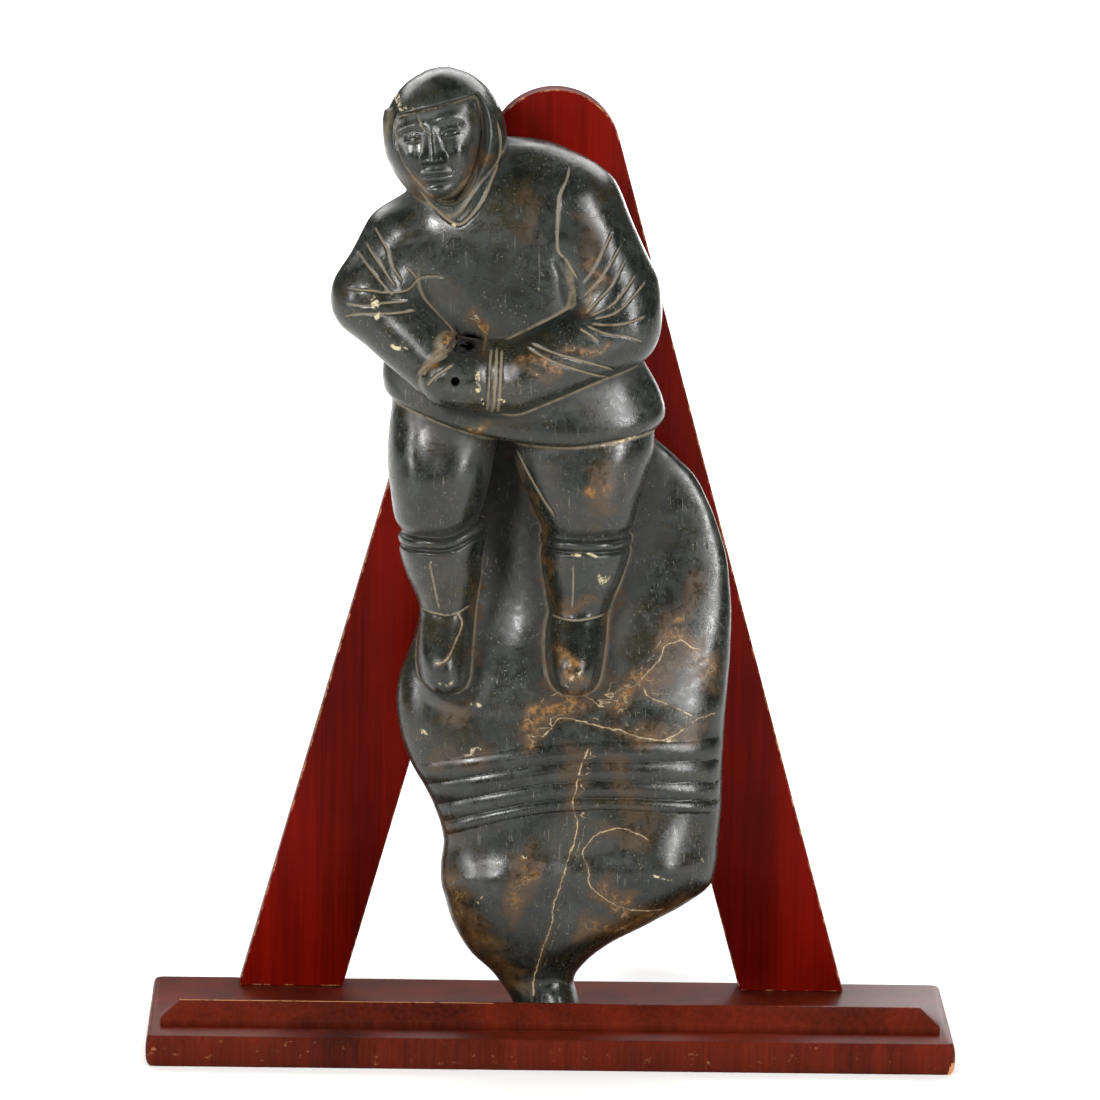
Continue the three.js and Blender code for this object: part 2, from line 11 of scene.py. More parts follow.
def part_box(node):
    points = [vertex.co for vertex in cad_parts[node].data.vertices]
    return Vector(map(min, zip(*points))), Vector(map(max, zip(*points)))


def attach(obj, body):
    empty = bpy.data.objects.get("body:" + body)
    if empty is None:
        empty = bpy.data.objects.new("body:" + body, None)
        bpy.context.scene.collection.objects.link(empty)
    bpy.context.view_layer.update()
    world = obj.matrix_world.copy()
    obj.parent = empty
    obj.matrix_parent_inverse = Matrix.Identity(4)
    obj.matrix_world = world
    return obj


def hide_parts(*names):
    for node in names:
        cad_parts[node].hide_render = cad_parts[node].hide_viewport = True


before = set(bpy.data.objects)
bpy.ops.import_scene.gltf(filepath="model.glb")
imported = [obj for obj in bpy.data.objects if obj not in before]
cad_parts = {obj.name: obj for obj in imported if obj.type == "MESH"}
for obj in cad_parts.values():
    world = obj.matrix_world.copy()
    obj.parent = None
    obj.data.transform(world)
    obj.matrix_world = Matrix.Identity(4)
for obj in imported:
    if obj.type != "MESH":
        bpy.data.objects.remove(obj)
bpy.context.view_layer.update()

bl_info = {
    "name": "Soapstone hunter on a wooden stand",
    "version": (1, 0, 0),
    "blender": (4, 5, 0),
    "location": "3D View > Sidebar > Hunter",
    "description": "Carves, polishes and lights a soapstone hunter and its stand",
    "category": "Object",
}

MM = 0.001

# Where the carving stands. It is worked out upright on its own flat back, in millimetres: x runs to
# the right, y is the depth (0 at the back, negative to the front) and z the height above the foot.
BOARD_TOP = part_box("base_board")[1].z / MM
LIP_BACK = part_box("front_lip")[1].y / MM
FRAME_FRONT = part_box("back_frame")[0].y / MM
REST_GAP = 0.3
FOOT_CLEARANCE = 1.0
FOOT_DEPTH = 49.0
REST_HEIGHT = 514.0
BACK_Y = LIP_BACK + FOOT_CLEARANCE + FOOT_DEPTH
LEAN = math.asin((FRAME_FRONT - REST_GAP - BACK_Y) / REST_HEIGHT)

# Level rings of a form: height, left edge, right edge, front, depth of the widest line, back,
# squareness, where 2 is an ellipse and more is squarer.
TRUNK = (
    (350, -96, 54, -62, -36, -6, 2.4), (372, -99, 55, -70, -38, -4, 2.4),
    (400, -98, 44, -73, -38, -3, 2.2), (430, -101, 34, -75, -38, -2, 2.1),
    (460, -104, 33, -77, -38, 0, 2.1), (480, -100, 34, -75, -38, 0, 2.2),
    (498, -87, 28, -68, -38, 0, 2.3), (512, -70, 14, -57, -36, 0, 2.2),
    (521, -58, -2, -47, -32, -6, 2.0), (524.5, -44, -18, -38, -28, -14, 2.0),
)
SKIRT = (
    (0, -95, 52, -60, -34, -8, 2.5), (2, -101, 58, -73, -36, -4, 2.5),
    (9, -104, 62.5, -77, -37, -3, 2.5), (24, -104.5, 60, -76, -37, -3, 2.4),
    (42, -102, 52, -72, -37, -3, 2.4), (56, -94, 44, -62, -37, -6, 2.4),
)
LEFT_LEG = (
    (197, -72, -59, -66, -46, -20, 2.0), (200, -77.5, -53.5, -71, -46, -20, 2.1),
    (206, -81, -51, -74, -42, -16, 2.2), (218, -82.5, -50, -74, -38, -14, 2.2),
    (232, -82, -49, -64, -34, -12, 2.2), (243, -81, -48, -57, -32, -12, 2.2),
    (250, -82.5, -47, -57, -32, -10, 2.2), (262, -88, -45, -61, -32, -10, 2.2),
    (274, -92, -43, -64, -32, -10, 2.3), (281, -93.5, -42, -65, -32, -10, 2.3),
    (283, -92.5, -43, -63, -32, -10, 2.3), (285, -94, -41.5, -66, -32, -10, 2.3),
    (288.5, -94, -42, -66, -32, -10, 2.3), (290.5, -92, -46.5, -62, -32, -10, 2.3),
    (298, -96, -45, -66, -32, -10, 2.3), (313, -99, -42, -70, -33, -10, 2.3),
    (328, -101, -39, -72, -34, -10, 2.3), (345, -101, -36, -70, -35, -10, 2.3),
    (374, -98, -30, -62, -35, -10, 2.3),
)
RIGHT_LEG = (
    (197, 4, 17, -66, -46, -20, 2.0), (200, -0.5, 23, -71, -46, -20, 2.1),
    (206, -4, 26.5, -74, -42, -16, 2.2), (218, -6, 28.5, -74, -38, -14, 2.2),
    (232, -6, 30, -64, -34, -12, 2.2), (243, -4, 31, -57, -32, -12, 2.2),
    (250, -5, 33, -57, -32, -10, 2.2), (262, -7, 38, -61, -32, -10, 2.2),
    (274, -9, 42, -64, -32, -10, 2.3), (281, -9, 43.5, -65, -32, -10, 2.3),
    (283, -8, 42.5, -63, -32, -10, 2.3), (285, -9.5, 44, -66, -32, -10, 2.3),
    (288.5, -10, 44.5, -66, -32, -10, 2.3), (290.5, -9, 42.5, -62, -32, -10, 2.3),
    (298, -11, 46, -66, -32, -10, 2.3), (313, -18, 49, -70, -33, -10, 2.3),
    (328, -24, 53, -71, -34, -10, 2.3), (345, -29, 57, -70, -35, -10, 2.3),
    (374, -29, 54, -62, -35, -10, 2.3),
)
SLAB = (
    (-4, -20, 16, -44, -18, -2, 2.5), (4, -22, 17.5, -45, -18, 0, 2.5),
    (11, -26, 16, -43, -18, 0, 2.4), (18, -31, 14.5, -41, -18, 0, 2.3),
    (25, -37, 17.5, -42, -18, 0, 2.3), (34, -47, 26, -46, -18, 0, 2.3),
    (44, -54, 40, -50, -19, 0, 2.4), (56, -60, 62, -55, -20, 0, 2.5),
    (67, -63, 81, -58, -21, 0, 2.6), (78, -66, 95, -60, -22, 0, 2.7),
    (90, -66, 98.5, -61, -22, 0, 2.8), (104, -65, 99.5, -59, -22, 0, 2.8),
    (127, -72, 101, -57, -22, 0, 2.8), (150, -85, 101, -58, -21, 0, 2.8),
    (162, -90, 101.5, -58, -20, 0, 2.8), (176, -93, 102, -57, -19, 0, 2.8),
    (190, -94, 103, -55, -18, 0, 2.8), (204, -92, 104, -49, -16, 0, 2.8),
    (222, -85, 105, -41, -15, 0, 3.0), (240, -80, 105, -35, -14, 0, 3.2),
    (256, -78, 104, -31, -14, 0, 3.3), (273, -77, 102, -28, -14, 0, 3.4),
    (290, -76, 97, -25, -14, 0, 3.4), (308, -75, 90, -24, -14, 0, 3.4),
    (323, -74, 82, -23, -13, 0, 3.4), (335, -73, 70, -22, -13, 0, 3.2),
    (345, -72, 58, -22, -13, 0, 3.0), (366, -70, 30, -20, -13, -2, 3.0),
)
HOOD = (
    (-52, -2, 3, -62, -50, -30, 2.0), (-48, -7, 7, -68, -46, -20, 2.0),
    (-38, -15.5, 15, -73, -42, -10, 2.1), (-26, -26, 24, -74, -40, -6, 2.1),
    (-14, -33, 31.5, -74, -40, -4, 2.3), (0, -36.5, 36, -74, -40, -4, 2.5),
    (14, -35, 34.5, -73, -40, -6, 2.5), (26, -29.5, 29.5, -69, -40, -10, 2.3),
    (36, -20.5, 21, -60, -40, -17, 2.1), (41, -11, 12, -53, -39, -25, 2.0),
    (43.5, -3, 4, -44, -38, -33, 2.0),
)
OPENING = (
    (-35, -5, 2, -99, -74, -52, 2.0), (-31, -11, 8, -99, -74, -50, 2.0),
    (-22, -19, 16, -99, -74, -49, 2.1), (-8, -28, 24, -99, -74, -48, 2.2),
    (6, -31.5, 27.5, -99, -74, -48, 2.3), (18, -31, 28, -99, -74, -49, 2.3),
    (24, -29, 27, -99, -74, -52, 2.3),
)
HOOD_TILT = math.radians(7.5)
HOOD_PLACE = (-69.0, 0.0, 523.0)
CAP_SLOPE = math.tan(math.radians(8))
FACE_TURN = math.radians(-5)
FACE_SHIFT = -2.0

# Face in the hood's own frame, on the usual canon: eyes halfway down the head, the nose's base
# halfway from the brow to the chin, the mouth a third of the way from there to the chin.
HEAD_TOP = 45.0
CHIN = -31.0
EYE = (HEAD_TOP + CHIN) / 2
BROW = EYE + 7
NOSE = BROW + (CHIN - BROW) / 2
MOUTH = NOSE + (CHIN - NOSE) * 0.36
EYE_SIDE = 26 * 0.42
FACE = (
    (CHIN - 3, -6, 6, -58, -48, -36, 2.0), (CHIN, -12, 12, -65, -50, -36, 2.0),
    (CHIN + 8, -20, 20, -68, -50, -36, 2.1), (NOSE, -26, 26, -69.5, -50, -36, 2.2),
    (EYE, -29.5, 29.5, -69, -50, -36, 2.3), (BROW + 6, -29.5, 29.5, -67, -48, -36, 2.3),
    (27, -28, 28, -62, -44, -36, 2.2),
)

# Limb stretches: two ends with their radius.
LIMBS = {
    "left upper arm": ((-93, -44, 463, 25), (-110, -52, 434, 23.5)),
    "left forearm": ((-110, -54, 430, 23.3), (-72, -74, 394, 19.5)),
    "right upper arm": ((6, -43, 484, 28.5), (30.5, -50, 436, 28)),
    "right forearm": ((33, -56, 416.5, 25.5), (-28, -76, 387.5, 21)),
    "cuff": ((-36, -77, 388.5, 21.8), (-40.5, -79, 388.5, 21.8)),
    "fist": ((-53, -84, 388.5, 19.8), (-65, -85, 388.5, 18.3)),
    "left hand": ((-79, -74, 400, 15), (-67, -80, 404, 10.5)),
}

# Bands on the slab: the heights of their grooves, their rise, where they are narrowest, and how
# much wider they are at a reach to the left and to the right.
BAND_GROOVES = (128, 135.5, 145.5, 157.5, 169)
BAND_RISE = 2.2
BAND_MIDDLE = 11.0
BAND_SPREAD = (0.16, 0.08)
BAND_REACH = 75
# The slab's rings sag to the left of a place by so much at a reach, between these heights.
SAG = 18
SAG_FROM = 40
SAG_REACH = 121
SAG_ZONE = (72, 108, 170, 204)
# Hem: its lowest height, where that is, its rise at a reach to the left and to the right, and how
# far above it the skirt is level again.
HEM_HEIGHT = 345.0
HEM_MIDDLE = 5.0
HEM_LEFT = (26, 106)
HEM_RIGHT = (8, 51)
HEM_EVEN = 90.0
# The left boot's top band climbs by so much between two places, at these heights.
BOOT_RISE = 9.0
BOOT_RISE_FROM = (-72, -42)
BOOT_RISE_ZONE = (262, 276, 296, 330)
# Drilled hole in the fist: its place and radius, the depth of its bottom and the drill's length.
HOLE = (-62.0, 388.0, 2.5)
HOLE_BOTTOM = -93.0
DRILL_LENGTH = 40.0
# Hollow between the hands: its middle and its half sizes.
HOLLOW = ((-54.5, -80.0, 406.5), (9.5, 22.0, 6.0))


def smooth(low, high, value):
    """Eased step from 0 at low to 1 at high."""
    t = np.clip((value - low) / (high - low), 0, 1)
    return t * t * (3 - 2 * t)


def plateau(value, low, full, ease, high):
    """Eased from 0 at low to 1 at full, and back from ease to high."""
    return smooth(low, full, value) * (1 - smooth(ease, high, value))


def bump(value, centre, width):
    """Bell of height 1."""
    return np.exp(-(((value - centre) / width) ** 2))


def blend_min(a, b, width):
    """Union of two distances with a round fillet of about the given width."""
    near = np.maximum(width - np.abs(a - b), 0) / width
    return np.minimum(a, b) - near * near * width / 4


def blend_max(a, b, width):
    """Overlap of two distances with a rounded edge."""
    return -blend_min(-a, -b, width)


# Least square of a ring's half size, in square mm.
THINNEST = 0.3


def ring_table(rows, step=0.5):
    """Dense rings on one smooth curve through a few: height, then centre, half width, widest
    depth, front and back reach, and squareness, each with its slope."""
    rows = np.array(rows, float)
    heights = rows[:, 0]
    left, right, front, side, back, square = rows[:, 1:].T
    # Half sizes are eased as squares, which closes a round end like a ball's.
    columns = np.stack([(left + right) / 2, ((right - left) / 2) ** 2, side,
                        (side - front) ** 2, (back - side) ** 2, square], axis=1)
    z = np.arange(heights[0], heights[-1] + step, step).clip(max=heights[-1])
    low = np.clip(np.searchsorted(heights, z, side="right") - 1, 0, len(rows) - 2)
    before, after = np.maximum(low - 1, 0), np.minimum(low + 2, len(rows) - 1)
    span = (heights[low + 1] - heights[low])[:, None]
    t = (z[:, None] - heights[low][:, None]) / span
    a, b = columns[low], columns[low + 1]
    start = (b - columns[before]) / (heights[low + 1] - heights[before])[:, None] * span
    end = (columns[after] - a) / (heights[after] - heights[low])[:, None] * span
    values = (a * (1 + t * t * (2 * t - 3)) + b * t * t * (3 - 2 * t)
              + start * t * (1 - t) ** 2 - end * t * t * (1 - t))
    for k in (1, 3, 4):
        values[:, k] = np.sqrt(np.maximum(values[:, k], THINNEST))
    slopes = np.gradient(values, z, axis=0)
    return z, values, slopes


def ring_distance(table, x, y, z, outline_z=None):
    """First-order distance to a form of level rings, negative inside. The outline may be read at
    another height than the depths, where the rings sag."""
    heights, values, slopes = table
    outline_z = z if outline_z is None else outline_z
    read = [outline_z, outline_z, z, z, z, z]
    centre, half, side, front, back, square = (
        np.interp(read[k], heights, values[:, k]) for k in range(6))
    d_centre, d_half, d_side, d_front, d_back = (
        np.interp(read[k], heights, slopes[:, k]) for k in range(5))
    ahead = y < side
    deep, d_deep = np.where(ahead, front, back), np.where(ahead, d_front, d_back)
    u, v = (x - centre) / half, (side - y) / deep
    au, av = np.abs(u) + 1e-6, np.abs(v) + 1e-6
    pu, pv = au ** (square - 1), av ** (square - 1)
    total = au * pu + av * pv
    size = total ** (1 / square)
    share = size / total
    gx = share * pu / half
    gy = share * pv / deep
    gz = share * (-pu * (np.sign(u) * d_centre + au * d_half) / half
                  + pv * (np.sign(v) * d_side - av * d_deep) / deep)
    ends = np.maximum(z - heights[-1], heights[0] - z)
    gz = gz * (1 - smooth(0, 3, ends)) / np.maximum(size, 1) ** 2
    flank = (size - 1) / np.sqrt(gx * gx + gy * gy + gz * gz)
    return blend_max(flank, ends, 1.5)


def limb_distance(ends, x, y, z):
    """Exact distance to a straight limb with round ends of two radii."""
    (ax, ay, az, r1), (bx, by, bz, r2) = ends
    base = np.array([bx - ax, by - ay, bz - az], float)
    length2 = base @ base
    flare = r1 - r2
    slope2 = length2 - flare * flare
    px, py, pz = x - ax, y - ay, z - az
    along = px * base[0] + py * base[1] + pz * base[2]
    past = along - length2
    cross = ((px * length2 - base[0] * along) ** 2 + (py * length2 - base[1] * along) ** 2
             + (pz * length2 - base[2] * along) ** 2)
    past2, along2 = past * past * length2, along * along * length2
    k = np.sign(flare) * flare * flare * cross
    side = (np.sqrt(cross * slope2 / length2) + along * flare) / length2 - r1
    far_end = np.sqrt(cross + past2) / length2 - r2
    near_end = np.sqrt(cross + along2) / length2 - r1
    out = np.where(np.sign(along) * slope2 * along2 < k, near_end, side)
    return np.where(np.sign(past) * slope2 * past2 > k, far_end, out)


TABLES = {
    "trunk": ring_table(TRUNK), "skirt": ring_table(SKIRT), "left leg": ring_table(LEFT_LEG),
    "right leg": ring_table(RIGHT_LEG), "slab": ring_table(SLAB), "hood": ring_table(HOOD),
    "opening": ring_table(OPENING), "face": ring_table(FACE),
}
FAR = 60.0


def where_near(x, y, z, box, distance):
    """A form's distance at the points near its box, and a large one elsewhere."""
    reach = 16.0
    (x0, x1), (y0, y1), (z0, z1) = box
    near = ((x > x0 - reach) & (x < x1 + reach) & (y > y0 - reach) & (y < y1 + reach)
            & (z > z0 - reach) & (z < z1 + reach))
    out = np.full(len(x), FAR)
    if near.any():
        out[near] = distance(x[near], y[near], z[near])
    return out


def ring_box(rows):
    rows = np.array(rows, float)
    return ((rows[:, 1].min(), rows[:, 2].max()), (rows[:, 3].min(), rows[:, 5].max()),
            (rows[0, 0], rows[-1, 0]))


def limb_box(ends):
    ends = np.array(ends, float)
    low, high = (ends[:, :3] - ends[:, 3:]).min(0), (ends[:, :3] + ends[:, 3:]).max(0)
    return tuple(zip(low, high))


def limb(name, x, y, z):
    ends = LIMBS[name]
    return where_near(x, y, z, limb_box(ends), lambda *p: limb_distance(ends, *p))


def rings(name, rows, x, y, z):
    return where_near(x, y, z, ring_box(rows), lambda *p: ring_distance(TABLES[name], *p))


def skirt_distance(x, y, z):
    """Skirt, whose hem follows a curve that evens out towards the waist."""
    left, right = (rise * ((x - HEM_MIDDLE) / reach) ** 2 for rise, reach in (HEM_LEFT, HEM_RIGHT))
    rise = np.where(x < HEM_MIDDLE, left, right)
    level = (z - HEM_HEIGHT - rise) / (1 - rise / HEM_EVEN)
    return ring_distance(TABLES["skirt"], x, y, level)


def left_leg_distance(x, y, z):
    """Left leg, whose boot's top band climbs towards the other leg."""
    level = z - BOOT_RISE * smooth(*BOOT_RISE_FROM, x) ** 1.5 * plateau(z, *BOOT_RISE_ZONE)
    return ring_distance(TABLES["left leg"], x, y, level)


def band_ridge(x, level):
    """Height of the carved bands over the slab. They widen a little to both sides."""
    spread = 1 + np.where(x < BAND_MIDDLE, *BAND_SPREAD) * ((x - BAND_MIDDLE) / BAND_REACH) ** 2
    top = BAND_GROOVES[-1]
    level = top - (top - level) / spread
    ridge = np.zeros_like(level)
    for low, high in zip(BAND_GROOVES, BAND_GROOVES[1:]):
        t = np.clip((level - low) / (high - low), 0, 1)
        ridge = np.maximum(ridge, BAND_RISE * np.sin(np.pi * t) ** 0.7)
    return ridge


def slab_level(x, z):
    """Height of the slab's ring that reaches a place, where the bands sag to the left."""
    sag = SAG * (np.maximum(0, SAG_FROM - x) / SAG_REACH) ** 2
    level = z + sag * plateau(z, *SAG_ZONE)
    for _ in range(4):
        level = (level + z + sag * plateau(level, *SAG_ZONE)) / 2
    return level


def slab_relief(x, level):
    """Forms on the slab's front: the valley between its two lobes, the channel up between the
    legs, and the knob and its cleft at the foot."""
    valley = -7 * bump(x, 17, 20) * plateau(level, 40, 74, 96, 126)
    left_lobe = 4.5 * bump(x, -34, 24) * bump(level, 80, 24)
    right_lobe = 4.5 * bump(x, 66, 22) * bump(level, 95, 20)
    channel = -8 * bump(x, -38, 13) * smooth(205, 250, level)
    knob = 2.5 * bump(x, 8, 8) * (1 - smooth(10, 24, level))
    cleft = -2 * bump(x, -5, 5) * (1 - smooth(6, 20, level))
    return valley + left_lobe + right_lobe + channel + knob + cleft + band_ridge(x, level)


def slab_distance(x, y, z):
    level = slab_level(x, z)
    heights, values, _ = TABLES["slab"]
    side = np.interp(level, heights, values[:, 2])
    front = np.interp(level, heights, values[:, 3])
    share = np.clip((side - y) / front, 0, 1)
    lifted = y + slab_relief(x, level) * np.sqrt(share)
    return ring_distance(TABLES["slab"], x, lifted, level, outline_z=z)


def to_hood(x, y, z):
    """Point in the hood's own upright frame, measured from the head's middle."""
    c, s = math.cos(HOOD_TILT), math.sin(HOOD_TILT)
    dx, dz = x - HOOD_PLACE[0], z - HOOD_PLACE[2]
    return dx * c + dz * s, y, dz * c - dx * s


def face_relief(x, z):
    """Height of the features over the face's smooth oval."""
    side = np.abs(x)
    down = np.clip((BROW - z) / (BROW - NOSE), 0, 1)
    bridge = ((1.3 + 5.6 * down ** 1.2) * bump(x, 0, 3.0 + 3.0 * down)
              * plateau(z, NOSE - 2.4, NOSE + 0.9, BROW - 4, BROW + 5))
    wings = 2.2 * bump(side, 5.2, 2.2) * bump(z, NOSE + 1.9, 2.4)
    brow = 1.8 * bump(z, BROW + 0.4 - 0.02 * (side - 9) ** 2, 3.0) * bump(side, EYE_SIDE, 8.5)
    socket = -3.0 * bump(z, EYE + 0.5, 4.8) * bump(side, EYE_SIDE + 0.4, 7.2)
    ball = 2.9 * bump(z, EYE - 0.6, 3.2) * bump(side, EYE_SIDE + 0.3, 5.6)
    across = (side - EYE_SIDE - 0.3) / 5.8
    open_eye = smooth(1.0, 0.75, np.abs(across))
    upper = EYE + 1.2 - 1.9 * across ** 2
    lower = EYE - 1.7 + 0.9 * across ** 2
    lids = (0.5 * bump(z, upper + 0.8, 0.9) - 0.7 * bump(z, upper - 0.4, 0.7)
            + 0.35 * bump(z, lower - 0.8, 0.8) - 0.4 * bump(z, lower + 0.3, 0.6)) * open_eye
    cheek = 2.4 * bump(z, NOSE + 4.5, 8) * bump(side, 14.5, 6.5)
    fold = -0.5 * bump(side, 7.8 - 0.30 * (z - NOSE), 2.2) * bump(z, NOSE - 4.0, 5)
    muzzle = 1.6 * bump(x, 0, 12) * bump(z, MOUTH, 8)
    lips = (1.5 * bump(z, MOUTH + 1.7, 1.7) * bump(x, 0, 7.0)
            + 1.9 * bump(z, MOUTH - 2.1, 2.0) * bump(x, 0, 6.2))
    parting = -1.3 * bump(z, MOUTH - 0.010 * x ** 2, 0.8) * np.exp(-(x / 7.2) ** 4)
    philtrum = -0.35 * bump(x, 0, 1.6) * bump(z, (NOSE + MOUTH) / 2, 2.0)
    under = -1.0 * bump(z, MOUTH - 5.6, 2.1) * bump(x, 0, 8)
    chin = 2.8 * bump(x, 0, 8) * bump(z, CHIN + 4.5, 4.4)
    return (bridge + wings + brow + socket + ball + lids + cheek + fold + muzzle + lips
            + parting + philtrum + under + chin)


def head_distances(x, y, z):
    """Hood, its opening and the face in it."""
    hx, hy, hz = to_hood(x, y, z)
    sloped = hz - CAP_SLOPE * hx * smooth(0, 20, hz)
    hood = ring_distance(TABLES["hood"], hx, hy, hz)
    opening = ring_distance(TABLES["opening"], hx, hy, sloped)
    c, s = math.cos(FACE_TURN), math.sin(FACE_TURN)
    fx = (hx - FACE_SHIFT) * c + hy * s
    fy = hy * c - (hx - FACE_SHIFT) * s
    fz = hz - CAP_SLOPE * fx * smooth(0, 20, hz)
    relief = face_relief(fx, fz) * np.clip((-50 - fy) / 10, 0, 1)
    face = ring_distance(TABLES["face"], fx, fy + relief, fz)
    return hood, opening, face


HEAD_BOX = ((-115, -25), (-110, 9), (456, 579))

# Smooth unevenness of a surface worked by hand: direction, wavelength and phase of each wave.
WOBBLE_HEIGHT = 0.12
WOBBLE_WAVES = (
    ((0.6, 0.3, 0.74), 61, 0.4), ((-0.8, 0.2, 0.56), 47, 2.1), ((0.1, 0.5, -0.86), 39, 4.0),
    ((0.93, -0.3, 0.2), 33, 1.2), ((-0.3, 0.4, 0.86), 26, 5.1), ((0.5, 0.6, -0.62), 21, 3.3),
)


def wobble(x, y, z):
    total = np.zeros_like(x)
    for (dx, dy, dz), wavelength, phase in WOBBLE_WAVES:
        total += np.sin((dx * x + dy * y + dz * z) * 2 * math.pi / wavelength + phase)
    return total * WOBBLE_HEIGHT / 2


# Carved lines: half width and depth in mm, then drawn (x, z) points.
FIGURE_LINES = (
    # Folds of the left sleeve, from the shoulder round the elbow.
    (0.65, 0.6, ((-111, 475), (-106, 467), (-102, 460), (-99, 451), (-93, 442))),
    (0.65, 0.6, ((-116, 466), (-110, 457), (-104, 449), (-97, 439))),
    (0.65, 0.6, ((-121, 461), (-114, 452), (-108, 445), (-98, 434))),
    (0.6, 0.5, ((-92, 452), (-88, 448), (-85, 444))),
    (0.65, 0.65, ((-128, 438.5), (-112, 438), (-104, 437), (-91, 438), (-84, 444), (-77, 446),
                (-66, 446))),
    (0.65, 0.6, ((-128, 430), (-115, 429), (-104, 431), (-89, 432))),
    (0.65, 0.6, ((-129, 421), (-119, 424), (-101, 425), (-84, 427))),
    # Folds of the right sleeve, fanning out from the elbow's crook.
    (0.65, 0.65, ((11, 443), (16, 449), (23, 462), (29, 474))),
    (0.65, 0.65, ((11, 434), (19, 443), (27, 454), (34, 466))),
    (0.65, 0.65, ((13, 425), (21, 434), (29, 443), (37, 458))),
    (0.65, 0.65, ((15, 424), (28, 431), (35, 438), (43, 449))),
    (0.65, 0.65, ((17, 423), (31, 427), (41, 436), (50, 446))),
    (0.65, 0.65, ((15, 421), (26, 420), (37, 421), (50, 425))),
    (0.65, 0.65, ((13, 420), (26, 415), (39, 413), (49, 409))),
    (0.7, 0.6, ((10, 418), (17, 414), (22, 410))),
    (0.7, 0.7, ((-20, 410), (-4, 404), (10, 400), (32, 393))),
    (0.7, 0.7, ((-22, 408), (-7, 400), (9, 394), (30, 387))),
    # Shoulder seam and the armpit below it.
    (0.8, 0.7, ((4, 514), (2, 504), (-2, 494), (-3, 482), (-3, 464), (2, 457), (7, 449),
                (11, 443))),
    (3.2, 2.2, ((-2, 458), (2, 448), (3, 438), (8, 428))),
    # Hood's border.
    (1.1, 1.0, ((-40, 541), (-37, 523), (-39, 510), (-42, 503), (-47, 491), (-55, 481),
                (-61, 477), (-68, 480), (-78, 489), (-87, 500))),
    # Scratch in the stone, from the hood's edge onto the brow.
    (0.5, 0.6, ((-86, 540), (-83, 533), (-78, 529))),
    # Cuff, fist and the edge of the other sleeve.
    (1.0, 1.2, ((-41, 408), (-42, 396), (-42.5, 381), (-43.5, 368))),
    (1.2, -0.7, ((-38, 409), (-38.5, 394), (-39, 381), (-40, 367))),
    (0.8, 0.5, ((-35, 408), (-35.5, 394), (-36, 381), (-37, 367))),
    (0.8, 0.7, ((-81, 390), (-76, 397), (-66, 403))),
    (0.8, 0.7, ((-79, 384), (-73, 391), (-63, 398))),
    (1.6, 1.8, ((-62, 416), (-63, 409), (-70, 402), (-79, 396), (-85, 390))),
    # Inner edge of the right trouser leg.
    (0.65, 0.6, ((-26, 344), (-19, 331), (-10, 316), (-1, 303))),
    # Boots: seams, ankles and the crack over the left toe.
    (0.6, 0.6, ((-76, 277), (-73, 264), (-71, 254), (-69, 246))),
    (0.7, 0.7, ((-82, 246), (-72, 244.5), (-62, 244), (-50, 249))),
    (0.5, 0.5, ((-59, 245), (-56, 238), (-60, 228), (-65, 219), (-72, 217))),
    (0.6, 0.5, ((9, 277), (9.5, 262), (9, 247))),
    (0.7, 0.7, ((-4, 243), (11, 241.5), (30, 244))),
)
LINE_GRID = 0.35
GRID_LOW = (-140.0, -12.0)
GRID_HIGH = (112.0, 600.0)


def curve_points(points, step):
    """Points on one smooth curve through the given ones, about a step apart."""
    p = np.array(points, float)
    p = np.vstack([2 * p[0] - p[1], p, 2 * p[-1] - p[-2]])
    out = []
    for a, b, c, d in zip(p, p[1:], p[2:], p[3:]):
        count = max(2, int(np.linalg.norm(c - b) / step))
        t = (np.arange(count) / count)[:, None]
        out.append(0.5 * (2 * b + (c - a) * t + (2 * a - 5 * b + 4 * c - d) * t * t
                          + (3 * b - a - 3 * c + d) * t ** 3))
    return np.vstack(out + [p[-2:-1]])


def new_grid():
    """Empty grid over the drawn front."""
    columns = int((GRID_HIGH[0] - GRID_LOW[0]) / LINE_GRID)
    rows = int((GRID_HIGH[1] - GRID_LOW[1]) / LINE_GRID)
    return np.zeros((rows, columns))


def draw_curve(grid, points, width, height):
    """Draws a bell-shaped line of the given half width, tapered at both ends."""
    path = curve_points(points, LINE_GRID)
    taper = np.clip(3.2 * np.sin(np.pi * np.linspace(0, 1, len(path))), 0.15, 1)
    reach = int(3 * width / LINE_GRID) + 1
    for (x, z), size in zip(path, taper):
        i, j = (x - GRID_LOW[0]) / LINE_GRID, (z - GRID_LOW[1]) / LINE_GRID
        columns = np.arange(int(i) - reach, int(i) + reach + 2).clip(0, grid.shape[1] - 1)
        rows = np.arange(int(j) - reach, int(j) + reach + 2).clip(0, grid.shape[0] - 1)
        away = (columns[None] - i) ** 2 + (rows[:, None] - j) ** 2
        profile = height * size * np.exp(-away * (LINE_GRID / width) ** 2)
        cells = np.ix_(rows, columns)
        grid[cells] = np.maximum(grid[cells], profile)


def read_grid(grid, x, z):
    """Grid value at drawn places, eased between its cells."""
    i = np.clip((x - GRID_LOW[0]) / LINE_GRID, 0, grid.shape[1] - 1.001)
    j = np.clip((z - GRID_LOW[1]) / LINE_GRID, 0, grid.shape[0] - 1.001)
    i0, j0 = i.astype(int), j.astype(int)
    u, v = i - i0, j - j0
    return ((grid[j0, i0] * (1 - u) + grid[j0, i0 + 1] * u) * (1 - v)
            + (grid[j0 + 1, i0] * (1 - u) + grid[j0 + 1, i0 + 1] * u) * v)


